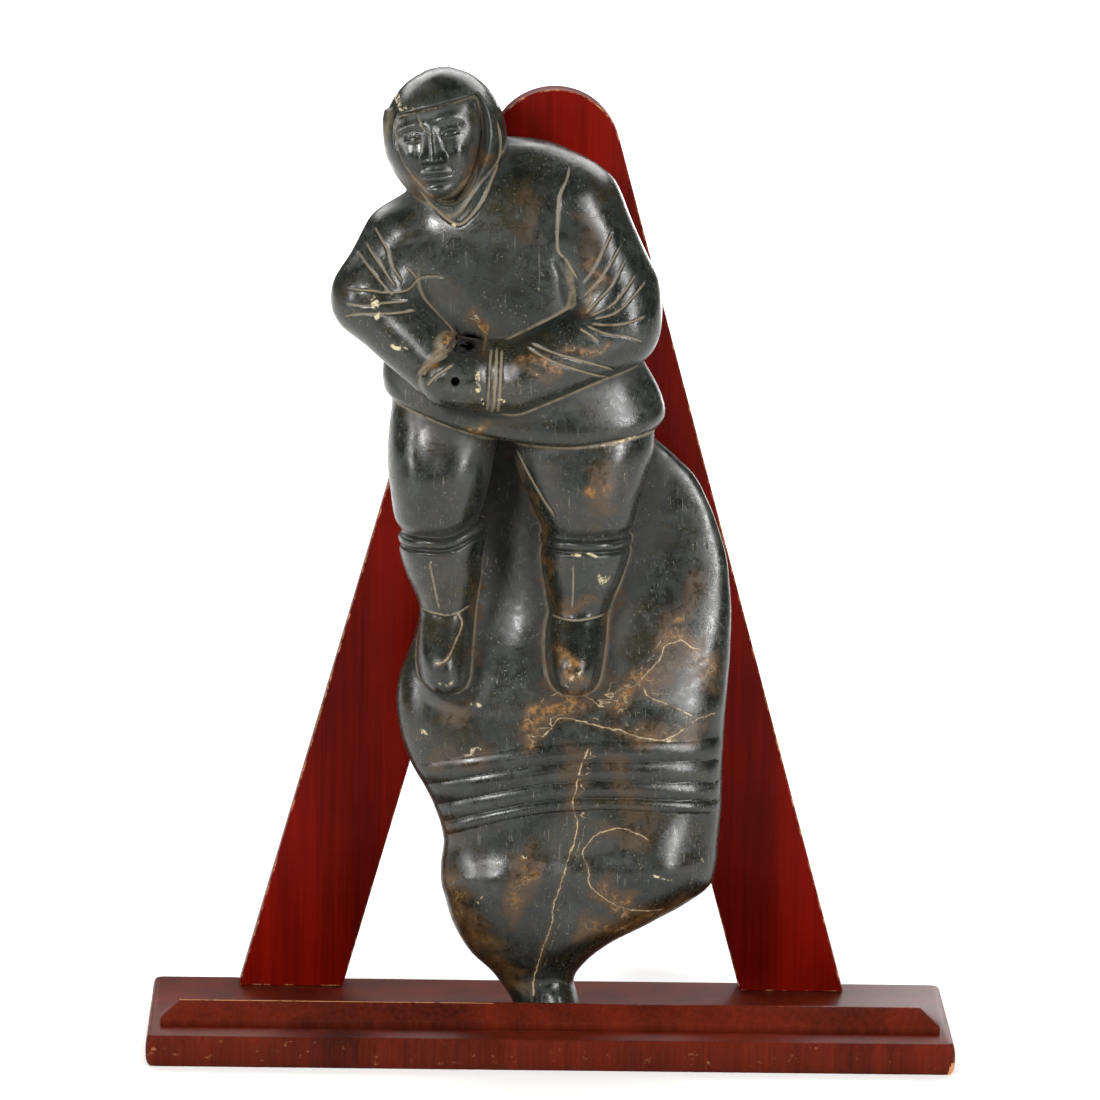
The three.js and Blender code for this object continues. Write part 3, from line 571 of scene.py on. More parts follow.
# Cut and raised lines, and the dust that only the narrow ones hold.
FIGURE_CUT, FIGURE_RAISED, FIGURE_DUST = new_grid(), new_grid(), new_grid()
for line_width, line_depth, line_points in FIGURE_LINES:
    draw_curve(FIGURE_CUT if line_depth > 0 else FIGURE_RAISED, line_points, line_width,
               abs(line_depth))
    if line_width < 2:
        draw_curve(FIGURE_DUST, line_points, min(line_width, 0.8), 1.0)


def carving_distance(points, parts=None):
    """Distance to the whole carving, negative inside, at drawn points. The last value of each
    blend is its fillet in mm. With parts, a dict, it also gives what the finish needs."""
    x, y, z = points.T
    trunk = rings("trunk", TRUNK, x, y, z)
    skirt = where_near(x, y, z, ((-105, 63), (-78, 0), (340, 440)), skirt_distance)
    left_leg = where_near(x, y, z, ring_box(LEFT_LEG), left_leg_distance)
    right_leg = rings("right leg", RIGHT_LEG, x, y, z)
    slab = where_near(x, y, z, ((-95, 106), (-66, 0), (-4, 366)), slab_distance)
    hood, opening, face = (np.full(len(x), FAR) for _ in range(3))
    (x0, x1), (y0, y1), (z0, z1) = HEAD_BOX
    near = (x > x0) & (x < x1) & (y > y0) & (y < y1) & (z > z0) & (z < z1)
    if near.any():
        hood[near], opening[near], face[near] = head_distances(x[near], y[near], z[near])

    left_arm = blend_min(limb("left upper arm", x, y, z), limb("left forearm", x, y, z), 10)
    right_arm = blend_min(limb("right upper arm", x, y, z), limb("right forearm", x, y, z), 11)
    hands = blend_min(limb("fist", x, y, z), limb("left hand", x, y, z), 2)
    fist = blend_min(hands, limb("cuff", x, y, z), 1.2)
    shoulder = 1.6 + 9 * smooth(432, 474, z)
    figure = blend_min(trunk, skirt, 1.5)
    figure = blend_min(figure, left_arm, shoulder)
    figure = blend_min(figure, right_arm, shoulder)
    figure = blend_min(figure, fist, 1.2)
    (hx, hy, hz), (rx, ry, rz) = HOLLOW
    hollow = (np.sqrt(((x - hx) / rx) ** 2 + ((y - hy) / ry) ** 2 + ((z - hz) / rz) ** 2) - 1) * rz
    figure = blend_max(figure, -hollow, 2.5)
    hem = np.minimum(left_leg, right_leg)
    figure = blend_min(figure, hem, 1.0)
    figure = blend_max(figure, -opening, 1.0)
    head = blend_max(hood, -opening, 1.6)
    head = blend_min(head, face, 1.0)
    figure = blend_min(figure, head, 2.0)

    ahead = smooth(-34, -44, y)
    figure = figure + (read_grid(FIGURE_CUT, x, z) - read_grid(FIGURE_RAISED, x, z)) * ahead
    whole = blend_min(figure, slab, 3.0)
    hole_x, hole_z, hole_r = HOLE
    hole = np.hypot(x - hole_x, z - hole_z) - hole_r
    whole = blend_max(whole, -np.maximum(hole, y - HOLE_BOTTOM), 0.6)
    whole = whole - wobble(x, y, z)
    below_foot = -(z * math.cos(LEAN) - y * math.sin(LEAN))
    if parts is not None:
        arms = np.minimum(left_arm, right_arm)
        low = np.where(z < 458, 0, FAR)
        meetings = ((arms + 0.4, trunk + low), (arms, skirt), (hem, skirt), (hem, slab),
                    (trunk, slab), (skirt, slab), (head + 1.0, trunk), (head, arms),
                    (hands + 0.8, arms), (hands + 0.8, trunk),
                    (face + 1.2, hood + FAR * (opening < -2)))
        parts["crease"] = np.min([np.maximum(a, b) for a, b in meetings], axis=0)
        parts["line"] = read_grid(FIGURE_DUST, x, z) * ahead
    return blend_max(whole, below_foot, 0.8)


def gradient(points, reach=0.06):
    """Slope of the carving's distance, by small steps to both sides."""
    out = np.empty_like(points)
    for axis in range(3):
        step = np.zeros(3)
        step[axis] = reach
        out[:, axis] = carving_distance(points + step) - carving_distance(points - step)
    return out / (2 * reach)


def settle(points, rounds, limit=2.5):
    """Moves points onto the carving's surface, by at most the limit in each round."""
    for _ in range(rounds):
        distance = carving_distance(points)
        slope = gradient(points)
        length2 = np.maximum((slope ** 2).sum(1), 0.05)
        move = np.clip(distance / np.sqrt(length2), -limit, limit) / np.sqrt(length2)
        points = points - slope * move[:, None]
    return points


def to_drawn(world):
    """Drawn millimetres of points given in metres."""
    c, s = math.cos(LEAN), math.sin(LEAN)
    y, z = world[:, 1] / MM - BACK_Y, world[:, 2] / MM - BOARD_TOP - REST_GAP
    return np.stack([world[:, 0] / MM, y * c - z * s, y * s + z * c], axis=1)


def turn_to_world(vectors):
    c, s = math.cos(LEAN), math.sin(LEAN)
    y, z = vectors[:, 1], vectors[:, 2]
    return np.stack([vectors[:, 0], y * c + z * s, z * c - y * s], axis=1)


def to_world(drawn):
    """Metres of points given in drawn millimetres."""
    return (turn_to_world(drawn) + np.array([0, BACK_Y, BOARD_TOP + REST_GAP])) * MM


def read_points(mesh):
    """Places of a mesh's vertices, in metres."""
    flat = np.empty(len(mesh.vertices) * 3, np.float32)
    mesh.vertices.foreach_get("co", flat)
    return flat.reshape(-1, 3).astype(float)


def write_points(mesh, points):
    mesh.vertices.foreach_set("co", points.astype(np.float32).ravel())
    mesh.update()


def write_attribute(mesh, name, values):
    made = mesh.attributes.new(name, "FLOAT", "POINT")
    made.data.foreach_set("value", values.astype(np.float32))


# Colour of the stone, drawn as places along curves: reach and strength, then drawn (x, z) points.
RUST = (
    # Right sleeve: a ring of ochre and a streak towards the elbow.
    (3.2, 1.0, ((-22, 399), (-17, 403), (-10, 402), (-5, 397), (-6, 391))),
    (5.0, 0.45, ((-24, 396), (-16, 392), (-10, 390))),
    (3.0, 0.8, ((2, 402), (10, 404), (18, 407), (26, 408))),
    (4.5, 0.6, ((14, 426), (18, 434), (21, 443), (19, 452), (16, 460))),
    (2.6, 0.8, ((-53, 429), (-48, 420), (-44, 408))),
    (3.0, 0.9, ((-64, 412), (-70, 405), (-79, 397))),
    # Skirt and legs.
    (3.2, 0.8, ((-54, 358), (-48, 356), (-44, 357))),
    (3.0, 0.9, ((21, 328), (19, 322), (22, 316), (27, 321), (25, 329))),
    (7.0, 0.45, ((26, 340), (25, 322), (26, 304))),
    (3.0, 0.55, ((-30, 344), (-24, 330), (-15, 310), (-9, 298), (-8, 280), (-6, 262), (-6, 246))),
    (3.0, 0.5, ((-8, 240), (-9, 226), (-7, 210), (0, 200), (10, 196), (20, 199), (27, 208),
                (31, 222), (33, 240), (36, 256), (42, 272))),
    (4.0, 0.55, ((-2, 252), (12, 250), (28, 254))),
    (5.5, 0.95, ((4, 222), (9, 214), (14, 207))),
    (3.0, 0.5, ((-48, 262), (-46, 248), (-48, 230), (-50, 210))),
    # Ledge under the feet.
    (7.0, 0.95, ((-16, 176), (-8, 184), (0, 190), (10, 193), (22, 190))),
    (5.0, 0.9, ((-18, 170), (-10, 170))),
    (6.0, 0.8, ((30, 190), (42, 197), (52, 204), (60, 214))),
    (9.0, 0.5, ((48, 196), (60, 206), (72, 214), (86, 210), (92, 196))),
    (7.0, 0.7, ((60, 220), (68, 226), (78, 226), (88, 218), (92, 206))),
    (3.0, 0.95, ((72, 243), (75, 240))),
    (8.0, 0.4, ((66, 236), (80, 250), (88, 264))),
    (6.0, 0.6, ((36, 178), (52, 173), (70, 172), (90, 178))),
    (7.0, 0.4, ((-70, 188), (-60, 184), (-48, 186))),
    (9.0, 0.35, ((-74, 152), (-60, 156), (-40, 162))),
    # Bands.
    (8.0, 0.40, ((12, 168), (13, 150), (12, 128))),
    (9.0, 0.38, ((36, 160), (40, 144), (46, 128), (60, 124))),
    (6.0, 0.4, ((-66, 120), (-62, 112))),
    # Lobes and foot.
    (9.0, 0.6, ((-58, 86), (-58, 74), (-52, 62), (-44, 50), (-34, 40))),
    (8.0, 0.65, ((-18, 104), (-15, 92), (-20, 78), (-24, 62))),
    (7.0, 0.85, ((28, 84), (36, 74), (48, 68))),
    (8.0, 0.6, ((14, 56), (28, 54), (44, 58), (62, 62), (80, 72))),
    (7.0, 0.5, ((-32, 34), (-24, 24), (-16, 14))),
    (8.0, 0.35, ((30, 116), (46, 112), (62, 112))),
    # Shoulders and hood.
    (8.0, 0.30, ((-24, 500), (-20, 486), (-24, 470))),
    (9.0, 0.28, ((10, 488), (18, 474), (14, 458))),
    (4.5, 0.6, ((-48, 522), (-51, 508), (-58, 498))),
    (4.0, 0.5, ((-90, 502), (-82, 494), (-74, 489))),
)
# Small chips and pits with pale dust in them.
CHIPS = (
    (2.4, 1.0, ((-110, 434), (-109, 428), (-109, 422))),
    (2.0, 0.9, ((-99, 551), (-97, 547), (-95, 543))),
    (1.2, 0.9, ((-93, 545), (-88, 543))),
    (1.0, 0.8, ((-124, 466), (-122, 464))),
    (1.6, 0.95, ((-49, 396), (-49, 389), (-48.5, 382))),
    (0.9, 0.9, ((-46.5, 379), (-45.5, 372))),
    (1.2, 0.8, ((-37, 377), (-33, 376))),
    (1.4, 0.8, ((-100, 407), (-96, 405), (-90, 406))),
    (1.6, 0.8, ((-50, 190), (-43, 189))),
    (1.5, 0.9, ((-80, 172), (-75, 171))),
    (1.5, 0.8, ((-57, 163), (-52, 160), (-46, 163), (-42, 163))),
    (1.5, 0.8, ((-18, 101), (-16, 99))),
    (1.0, 0.7, ((-33, 95), (-31, 92))),
    (1.2, 0.7, ((-75, 276), (-70, 275))),
    (1.2, 0.6, ((-90, 253), (-86, 251))),
    (1.2, 0.7, ((8, 282), (14, 281))),
    (1.1, 0.7, ((12, 285), (24, 280), (28, 276))),
    (1.2, 0.6, ((88, 98), (90, 96))),
    (1.3, 0.8, ((-17, 393), (-14, 392))),
    (1.2, 0.8, ((-9, 366), (-14, 365))),
    (1.6, 0.6, ((66, 169), (72, 170))),
    (1.4, 0.7, ((22, 346), (34, 349), (46, 353))),
    (0.9, 0.8, ((58, 90), (66, 88), (72, 86))),
    (0.8, 0.8, ((-45, 70), (-41, 77))),
    (1.2, 0.7, ((-66, 478), (-63, 476))),
    (2.2, 0.55, ((6, 204), (10, 210), (16, 214))),
    (1.8, 0.5, ((-70, 206), (-64, 204), (-60, 208))),
    (3.0, 0.6, ((24, 270), (28, 264), (30, 272))),
)
VEINS = (
    ((21, 167), (15, 152), (13, 140), (11, 131), (14, 122), (13, 110), (9, 97), (5, 82),
     (1, 70), (0, 58), (-4, 46), (-7, 34), (-10, 22), (-10, 10)),
    ((-59, 245), (-56, 238), (-60, 228), (-65, 219), (-72, 217)),
    ((58, 110), (52, 113), (40, 117), (28, 114), (22, 109), (18, 101), (21, 92), (22, 83),
     (28, 77), (37, 71), (52, 67), (68, 67)),
    ((52, 200), (56, 195), (65, 192), (73, 188), (82, 184)),
    ((-9, 192), (-4, 195), (5, 198), (15, 197), (24, 192), (29, 189), (32, 193), (37, 199),
     (44, 200), (48, 202), (53, 207), (59, 213), (63, 218), (64, 223), (70, 226), (76, 227),
     (81, 223), (88, 221)),
    ((-15, 173), (-9, 171), (-2, 177), (3, 183), (12, 182), (27, 178), (39, 176), (45, 173),
     (54, 171), (65, 170), (74, 174), (79, 178), (86, 182), (97, 184)),
)
# Reach of a vein's field, the depth behind which it has none, and the step along its path, in mm,
# and how many points are measured at once.
VEIN_REACH = 5.0
VEIN_FRONT = -14
VEIN_STEP = 0.6
BATCH = 4000


def vein_field(points):
    """Signed distance to the nearest vein, in mm, and how much of the vein shows there."""
    x, z = points[:, 0], points[:, 2]
    signed, shown = np.full(len(x), VEIN_REACH), np.zeros(len(x))
    for path in VEINS:
        line = curve_points(path, VEIN_STEP)
        along = np.gradient(line, axis=0)
        low, high = line.min(0) - VEIN_REACH, line.max(0) + VEIN_REACH
        near = np.flatnonzero((x > low[0]) & (x < high[0]) & (z > low[1]) & (z < high[1])
                              & (points[:, 1] < VEIN_FRONT))
        for part in np.array_split(near, max(1, len(near) // BATCH)):
            dx = x[part][:, None] - line[:, 0]
            dz = z[part][:, None] - line[:, 1]
            away = np.hypot(dx, dz)
            at = away.argmin(1)
            row = np.arange(len(part))
            side = np.sign(dx[row, at] * along[at, 1] - dz[row, at] * along[at, 0])
            distance = away[row, at]
            end = np.clip(8 * np.sin(np.pi * at / (len(line) - 1)), 0, 1)
            fade = smooth(VEIN_REACH, VEIN_REACH * 0.5, distance) * end
            better = distance < np.abs(signed[part])
            signed[part[better]] = (side * distance)[better]
            shown[part[better]] = fade[better]
    return signed, shown


# Waves that bend the stains: direction, wavelength, reach and phase.
STAIN_DRIFT = ((0.9, 0.5, 31, 3.2, 0.7), (-0.4, 0.95, 19, 2.4, 2.9), (0.7, -0.75, 11, 1.5, 5.2),
               (0.2, 0.98, 6.5, 0.9, 1.4))


def stain_field(curves, x, z, drift):
    """Strength of drawn curves at places, which drift a few mm like clouds."""
    grid = new_grid()
    for width, strength, path in curves:
        draw_curve(grid, path, width, strength)
    for dx, dz, wavelength, reach, phase in drift:
        wave = np.sin((dx * x + dz * z) * 2 * math.pi / wavelength + phase)
        x, z = x - dz * wave * reach, z + dx * wave * reach
    return read_grid(grid, x, z)


def linear(hex_colour):
    """Linear red, green, blue and alpha of an sRGB hex colour."""
    parts = [int(hex_colour[i:i + 2], 16) / 255 for i in (1, 3, 5)]
    return [v / 12.92 if v <= 0.04045 else ((v + 0.055) / 1.055) ** 2.4 for v in parts] + [1.0]


def add(tree, kind, inputs=(), **settings):
    """Adds a node with its settings. Each input is a value or the socket that feeds it."""
    made = tree.nodes.new(kind)
    for name, value in settings.items():
        setattr(made, name, value)
    for key, value in dict(inputs).items():
        if isinstance(value, bpy.types.NodeSocket):
            tree.links.new(value, made.inputs[key])
        else:
            made.inputs[key].default_value = value
    return made


def new_material(name):
    made = bpy.data.materials.new(name)
    made.use_nodes = True
    made.node_tree.nodes.clear()
    return made, made.node_tree


# Noise patterns of the stone: size in mm, detail, roughness and distortion.
STONE_GRAINS = {
    "warmth": (64, 7.0, 0.62, 1.2), "cloud": (38, 8.0, 0.62, 0.8), "cluster": (17, 5.0, 0.60, 0.4),
    "mottle": (11, 9.0, 0.68, 0.9), "patch": (5.5, 9.0, 0.74, 0.6), "jag": (4, 7.0, 0.72, 0.0),
    "fleck": (1.6, 3.0, 0.62, 0.0), "pore": (0.8, 3.0, 0.55, 0.0),
}
# Fine scratches run in a few directions, turned about the depth, in degrees.
SCRATCH_TURNS = (12, -58, 74)
STONE_MASKS = ("crease", "line", "rust", "chip", "hollow", "ridge")

# Layers of colour, from the first one up: setting, strength, and the ramps whose product is the
# mask. A ramp gives 0 at its first value of a pattern and 1 at its second.
STONE_LAYERS = (
    ("stone_green", 0.9, (("mottle", 0.40, 0.60),)),
    ("stone_grey", 0.8, (("cloud", 0.46, 0.62), ("patch", 0.28, 0.58))),
    ("stone_olive", 0.7, (("mottle", 0.56, 0.42), ("warmth", 0.44, 0.60))),
    ("stone_brown_and_shade", 0.55, (("warmth", 0.52, 0.68), ("patch", 0.38, 0.60))),
    ("stone_grey", 0.55, (("ridge", 0.08, 0.35), ("patch", 0.36, 0.58))),
    # Painted shade: the more enclosed a place, the darker brown and then near black it is painted.
    ("stone_brown_and_shade", 0.75, (("hollow", 0.30, 0.75), ("patch", 0.32, 0.58))),
    ("stone_dark_and_shade", 0.8, (("hollow", 0.35, 0.70),)),
    ("stone_pale", 0.8, (("fleck", 0.63, 0.69), ("cluster", 0.44, 0.58))),
    ("stone_pale", 0.6, (("scratch", 0.68, 0.75), ("cluster", 0.40, 0.56))),
    ("stone_brown_and_shade", 0.9, (("rust", 0.04, 0.34), ("mottle", 0.30, 0.52))),
    ("rust_dark", 0.85, (("rust", 0.16, 0.50), ("patch", 0.34, 0.56))),
    ("rust", 0.9, (("rust", 0.42, 0.85), ("jag", 0.46, 0.58))),
    ("vein", 0.60, (("net", 0.030, 0.0), ("rust", 0.35, 0.70), ("cloud", 0.44, 0.56))),
    ("rust_dark", 0.75, (("vein_away", 3.0, 0.4), ("vein_shown", 0.0, 1.0), ("patch", 0.34, 0.58))),
    ("vein", 0.90, (("vein_away", 0.40, 0.08), ("vein_shown", 0.1, 0.6), ("patch", 0.32, 0.46))),
    ("dust", 0.85, (("crease", 2.2, 0.5), ("patch", 0.30, 0.54))),
    ("dust", 0.85, (("line", 0.25, 0.65), ("patch", 0.26, 0.48))),
    ("chip", 1.0, (("chip", 0.28, 0.60), ("jag", 0.47, 0.57))),
)
# Where the polish is duller: roughness added, and its ramps.
STONE_DULLING = (
    (0.12, (("mottle", 0.35, 0.65),)), (0.10, (("patch", 0.42, 0.66),)),
    (0.18, (("rust", 0.10, 0.60), ("patch", 0.35, 0.60))), (0.45, (("hollow", 0.08, 0.40),)),
    (0.30, (("line", 0.20, 0.70),)), (0.30, (("crease", 2.2, 0.5),)),
    (0.35, (("chip", 0.28, 0.60), ("jag", 0.47, 0.57))),
)
# Fine relief under the polish: height in mm, and its ramps.
STONE_RELIEF = (
    (0.026, (("pore", 0.30, 0.70),)), (0.09, (("mottle", 0.30, 0.70),)),
    (-0.03, (("scratch", 0.68, 0.75),)), (-0.08, (("fleck", 0.63, 0.69), ("cluster", 0.44, 0.58))),
    (-0.25, (("chip", 0.28, 0.60), ("jag", 0.47, 0.57))),
    (-0.10, (("vein_away", 0.62, 0.22), ("vein_shown", 0.1, 0.6))),
)


def ramps_product(tree, patterns, ramps, height=1.0):
    """Height times the product of ramps over named patterns."""
    for name, low, high in ramps:
        ramp = add(tree, "ShaderNodeMapRange", {
            "Value": patterns[name], "From Min": low, "From Max": high},
            interpolation_type="SMOOTHSTEP")
        height = add(tree, "ShaderNodeMath", {0: height, 1: ramp.outputs["Result"]},
                     operation="MULTIPLY").outputs[0]
    return height


def stone_patterns(tree):
    """Sockets of all the patterns that the stone's layers read."""
    place = add(tree, "ShaderNodeTexCoord").outputs["Object"]
    patterns = {}
    for name, (size, detail, roughness, distortion) in STONE_GRAINS.items():
        patterns[name] = add(tree, "ShaderNodeTexNoise", {
            "Vector": place, "Scale": 1 / (size * MM), "Detail": detail, "Roughness": roughness,
            "Distortion": distortion}).outputs["Fac"]
    for name in STONE_MASKS:
        patterns[name] = add(tree, "ShaderNodeAttribute", attribute_name=name).outputs["Fac"]

    scratch = 0.0
    for turn in SCRATCH_TURNS:
        along = add(tree, "ShaderNodeMapping", {
            "Vector": place, "Rotation": (0, math.radians(turn), 0), "Scale": (1.0, 0.4, 0.03)})
        stroke = add(tree, "ShaderNodeTexNoise", {
            "Vector": along.outputs["Vector"], "Scale": 1 / (0.9 * MM), "Detail": 2.0})
        scratch = add(tree, "ShaderNodeMath", {0: scratch, 1: stroke.outputs["Fac"]},
                      operation="MAXIMUM").outputs[0]
    patterns["scratch"] = scratch

    # A net of cracks, bent by noise.
    bend = add(tree, "ShaderNodeTexNoise", {
        "Vector": place, "Scale": 1 / (9 * MM), "Detail": 4.0}).outputs["Color"]
    bent = add(tree, "ShaderNodeVectorMath", {0: bend, 1: (0.012, 0.012, 0.012), 2: place},
               operation="MULTIPLY_ADD").outputs[0]
    patterns["net"] = add(tree, "ShaderNodeTexVoronoi", {"Vector": bent, "Scale": 1 / (8 * MM)},
                          feature="DISTANCE_TO_EDGE").outputs["Distance"]

    # Distance to a vein, which noise makes ragged and now thinner, now wider.
    vein = add(tree, "ShaderNodeAttribute", attribute_name="vein").outputs["Vector"]
    vein = add(tree, "ShaderNodeSeparateXYZ", {0: vein})
    ragged = add(tree, "ShaderNodeMath", {0: patterns["jag"], 1: 4.0, 2: -2.0},
                 operation="MULTIPLY_ADD").outputs[0]
    ragged = add(tree, "ShaderNodeMath", {0: vein.outputs[0], 1: ragged},
                 operation="ADD").outputs[0]
    ragged = add(tree, "ShaderNodeMath", {0: ragged}, operation="ABSOLUTE").outputs[0]
    patterns["vein_away"] = add(tree, "ShaderNodeMath", {
        0: patterns["mottle"], 1: -1.6, 2: ragged}, operation="MULTIPLY_ADD").outputs[0]
    patterns["vein_away"] = add(tree, "ShaderNodeMath", {
        0: patterns["vein_away"], 1: 0.8}, operation="ADD").outputs[0]
    patterns["vein_shown"] = vein.outputs[1]
    return patterns


def soapstone(settings):
    """Soapstone, carved, rubbed smooth and waxed: nearly black green with grey and olive clouds,
    ochre stains and pale veins, light dust left in every carved line, and painted shade in its
    hollows."""
    material, tree = new_material("waxed_soapstone")
    patterns = stone_patterns(tree)
    colour = linear(settings.stone_dark_and_shade)
    for name, strength, ramps in STONE_LAYERS:
        mask = ramps_product(tree, patterns, ramps, strength)
        colour = add(tree, "ShaderNodeMix", {
            0: mask, 6: colour, 7: linear(getattr(settings, name))}, data_type="RGBA").outputs[2]
    rough = settings.polish
    for dulling, ramps in STONE_DULLING:
        rough = add(tree, "ShaderNodeMath", {
            0: ramps_product(tree, patterns, ramps, dulling), 1: rough},
            operation="ADD").outputs[0]
    relief = 0.0
    for height, ramps in STONE_RELIEF:
        relief = add(tree, "ShaderNodeMath", {
            0: ramps_product(tree, patterns, ramps, height * MM), 1: relief},
            operation="ADD").outputs[0]
    bumps = add(tree, "ShaderNodeBump", {"Strength": 0.5, "Distance": 1.0, "Height": relief})
    shader = add(tree, "ShaderNodeBsdfPrincipled", {
        "Base Color": colour, "Roughness": rough, "IOR": 1.56, "Specular IOR Level": 0.42,
        "Normal": bumps.outputs["Normal"]})
    add(tree, "ShaderNodeOutputMaterial", {"Surface": shader.outputs[0]})
    return material


def stained_wood(name, settings, light, dark, turn):
    """Plain board wood, stained cherry red and lacquered: thin dark grain lines along each board
    under an even satin coat, and rubbed a little lighter along its edges."""
    material, tree = new_material(name)
    place = add(tree, "ShaderNodeTexCoord").outputs["Object"]
    # Grain runs along Z after the turn, so it is drawn 40 times longer than it is wide.
    along = add(tree, "ShaderNodeMapping", {
        "Vector": place, "Rotation": turn, "Scale": (1.0, 1.0, 0.025)}).outputs["Vector"]
    streak = add(tree, "ShaderNodeTexNoise", {
        "Vector": along, "Scale": 1 / (2.2 * MM), "Detail": 6.0, "Roughness": 0.65}).outputs["Fac"]
    broad = add(tree, "ShaderNodeTexNoise", {
        "Vector": along, "Scale": 1 / (24 * MM), "Detail": 3.0, "Distortion": 0.5}).outputs["Fac"]
    cloud = add(tree, "ShaderNodeTexNoise", {
        "Vector": place, "Scale": 1 / (90 * MM), "Detail": 3.0}).outputs["Fac"]
    tone = streak
    for wide in (broad, cloud):
        tone = add(tree, "ShaderNodeMath", {0: tone, 1: wide}, operation="ADD").outputs[0]
    mask = add(tree, "ShaderNodeMapRange", {
        "Value": tone, "From Min": 1.15, "From Max": 1.85}).outputs["Result"]
    colour = add(tree, "ShaderNodeMix", {0: mask, 6: linear(dark), 7: linear(light)},
                 data_type="RGBA").outputs[2]
    worn = add(tree, "ShaderNodeAttribute", attribute_name="wear").outputs["Fac"]
    patchy = add(tree, "ShaderNodeTexNoise", {
        "Vector": place, "Scale": 1 / (6 * MM), "Detail": 6.0, "Roughness": 0.7}).outputs["Fac"]
    worn = add(tree, "ShaderNodeMath", {0: worn, 1: patchy}, operation="MULTIPLY").outputs[0]
    worn = add(tree, "ShaderNodeMapRange", {
        "Value": worn, "From Min": 0.30, "From Max": 0.42},
        interpolation_type="SMOOTHSTEP").outputs["Result"]
    colour = add(tree, "ShaderNodeMix", {0: worn, 6: colour, 7: linear(settings.bare_wood)},
                 data_type="RGBA").outputs[2]
    rough = add(tree, "ShaderNodeMapRange", {
        "Value": streak, "To Min": settings.gloss,
        "To Max": settings.gloss + 0.14}).outputs["Result"]
    bump_node = add(tree, "ShaderNodeBump", {
        "Strength": 0.12, "Distance": 0.2 * MM, "Height": streak})
    shader = add(tree, "ShaderNodeBsdfPrincipled", {
        "Base Color": colour, "Roughness": rough, "IOR": 1.5, "Specular IOR Level": settings.coat,
        "Normal": bump_node.outputs["Normal"]})
    add(tree, "ShaderNodeOutputMaterial", {"Surface": shader.outputs[0]})
    return material


PAPER_TINT = "#f4f4f2"
ROOM_COLOUR = "#f2f2f0"


def studio_paper(settings):
    """Matt white background paper: no gloss, and a very faint unevenness of the sweep."""
    material, tree = new_material("studio_paper")
    place = add(tree, "ShaderNodeTexCoord").outputs["Object"]
    cloud = add(tree, "ShaderNodeTexNoise", {"Vector": place, "Scale": 1.5}).outputs["Fac"]
    colour = add(tree, "ShaderNodeMix", {
        0: cloud, 6: linear(settings.floor_colour), 7: linear(PAPER_TINT)},
        data_type="RGBA").outputs[2]
    shader = add(tree, "ShaderNodeBsdfPrincipled", {"Base Color": colour, "Roughness": 0.9})
    add(tree, "ShaderNodeOutputMaterial", {"Surface": shader.outputs[0]})
    return material


# Rays cast from each place, as their tilt from its normal and their turn around it in degrees,
# their length, and how far off the surface they start, in mm.
HOLLOW_RAYS = ((25, 0), (25, 120), (25, 240), (60, 60), (60, 132), (60, 204), (60, 276), (60, 348))
HOLLOW_REACH = 32.0
HOLLOW_LIFT = 0.4


def hollow_share(mesh, normals):
    """Share of the rays cast from each vertex that soon meet the surface again."""
    tree = BVHTree.FromPolygons([v.co for v in mesh.vertices],
                                [p.vertices for p in mesh.polygons])
    # Any fixed direction will do to turn the rays from.
    across = np.cross(normals, (0.13, 0.62, 0.77))
    across /= np.linalg.norm(across, axis=1)[:, None]
    third = np.cross(normals, across)
    places = read_points(mesh) + normals * HOLLOW_LIFT * MM
    hits = np.zeros(len(places))
    for tilt, turn in np.radians(HOLLOW_RAYS):
        ways = (normals * math.cos(tilt) + (across * math.cos(turn) + third * math.sin(turn))
                * math.sin(tilt))
        for k, (place, way) in enumerate(zip(places.tolist(), ways.tolist())):
            hits[k] += tree.ray_cast(place, way, HOLLOW_REACH * MM)[0] is not None
    return hits / len(HOLLOW_RAYS)


def evened(mesh, values, rounds=30):
    """Values of the vertices, evened out over their neighbours."""
    ends = np.empty(len(mesh.edges) * 2, np.int32)
    mesh.edges.foreach_get("vertices", ends)
    a, b = ends.reshape(-1, 2).T
    size = len(values)
    count = np.bincount(a, minlength=size) + np.bincount(b, minlength=size)
    for _ in range(rounds):
        beside = np.bincount(a, values[b], size) + np.bincount(b, values[a], size)
        values = (values + beside / np.maximum(count, 1)) / 2
    return values


def select_only(piece):
    bpy.ops.object.select_all(action="DESELECT")
    piece.select_set(True)
    bpy.context.view_layer.objects.active = piece


def apply_modifier(piece, name, kind, **settings):
    select_only(piece)
    modifier = piece.modifiers.new(name, kind)
    for key, value in settings.items():
        setattr(modifier, key, value)
    bpy.ops.object.modifier_apply(modifier=modifier.name)


def merged_copy(node, name):
    """Copy of a solid's loose triangles, merged to one closed mesh."""
    piece = bpy.data.objects.new(name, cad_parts[node].data.copy())
    piece.data.materials.clear()
    bpy.context.scene.collection.objects.link(piece)
    select_only(piece)
    bpy.ops.object.mode_set(mode="EDIT")
    bpy.ops.mesh.select_all(action="SELECT")
    bpy.ops.mesh.remove_doubles(threshold=0.002 * MM)
    bpy.ops.object.mode_set(mode="OBJECT")
    return piece


def settle_mesh(piece, rounds):
    """Moves a piece's vertices onto the carving's surface."""
    write_points(piece.data, to_world(settle(to_drawn(read_points(piece.data)), rounds)))


def finish_piece(piece, node, material):
    """Gives a piece its material and puts it in the place of its solid."""
    piece.data.materials.append(material)
    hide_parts(node)
    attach(piece, "root")


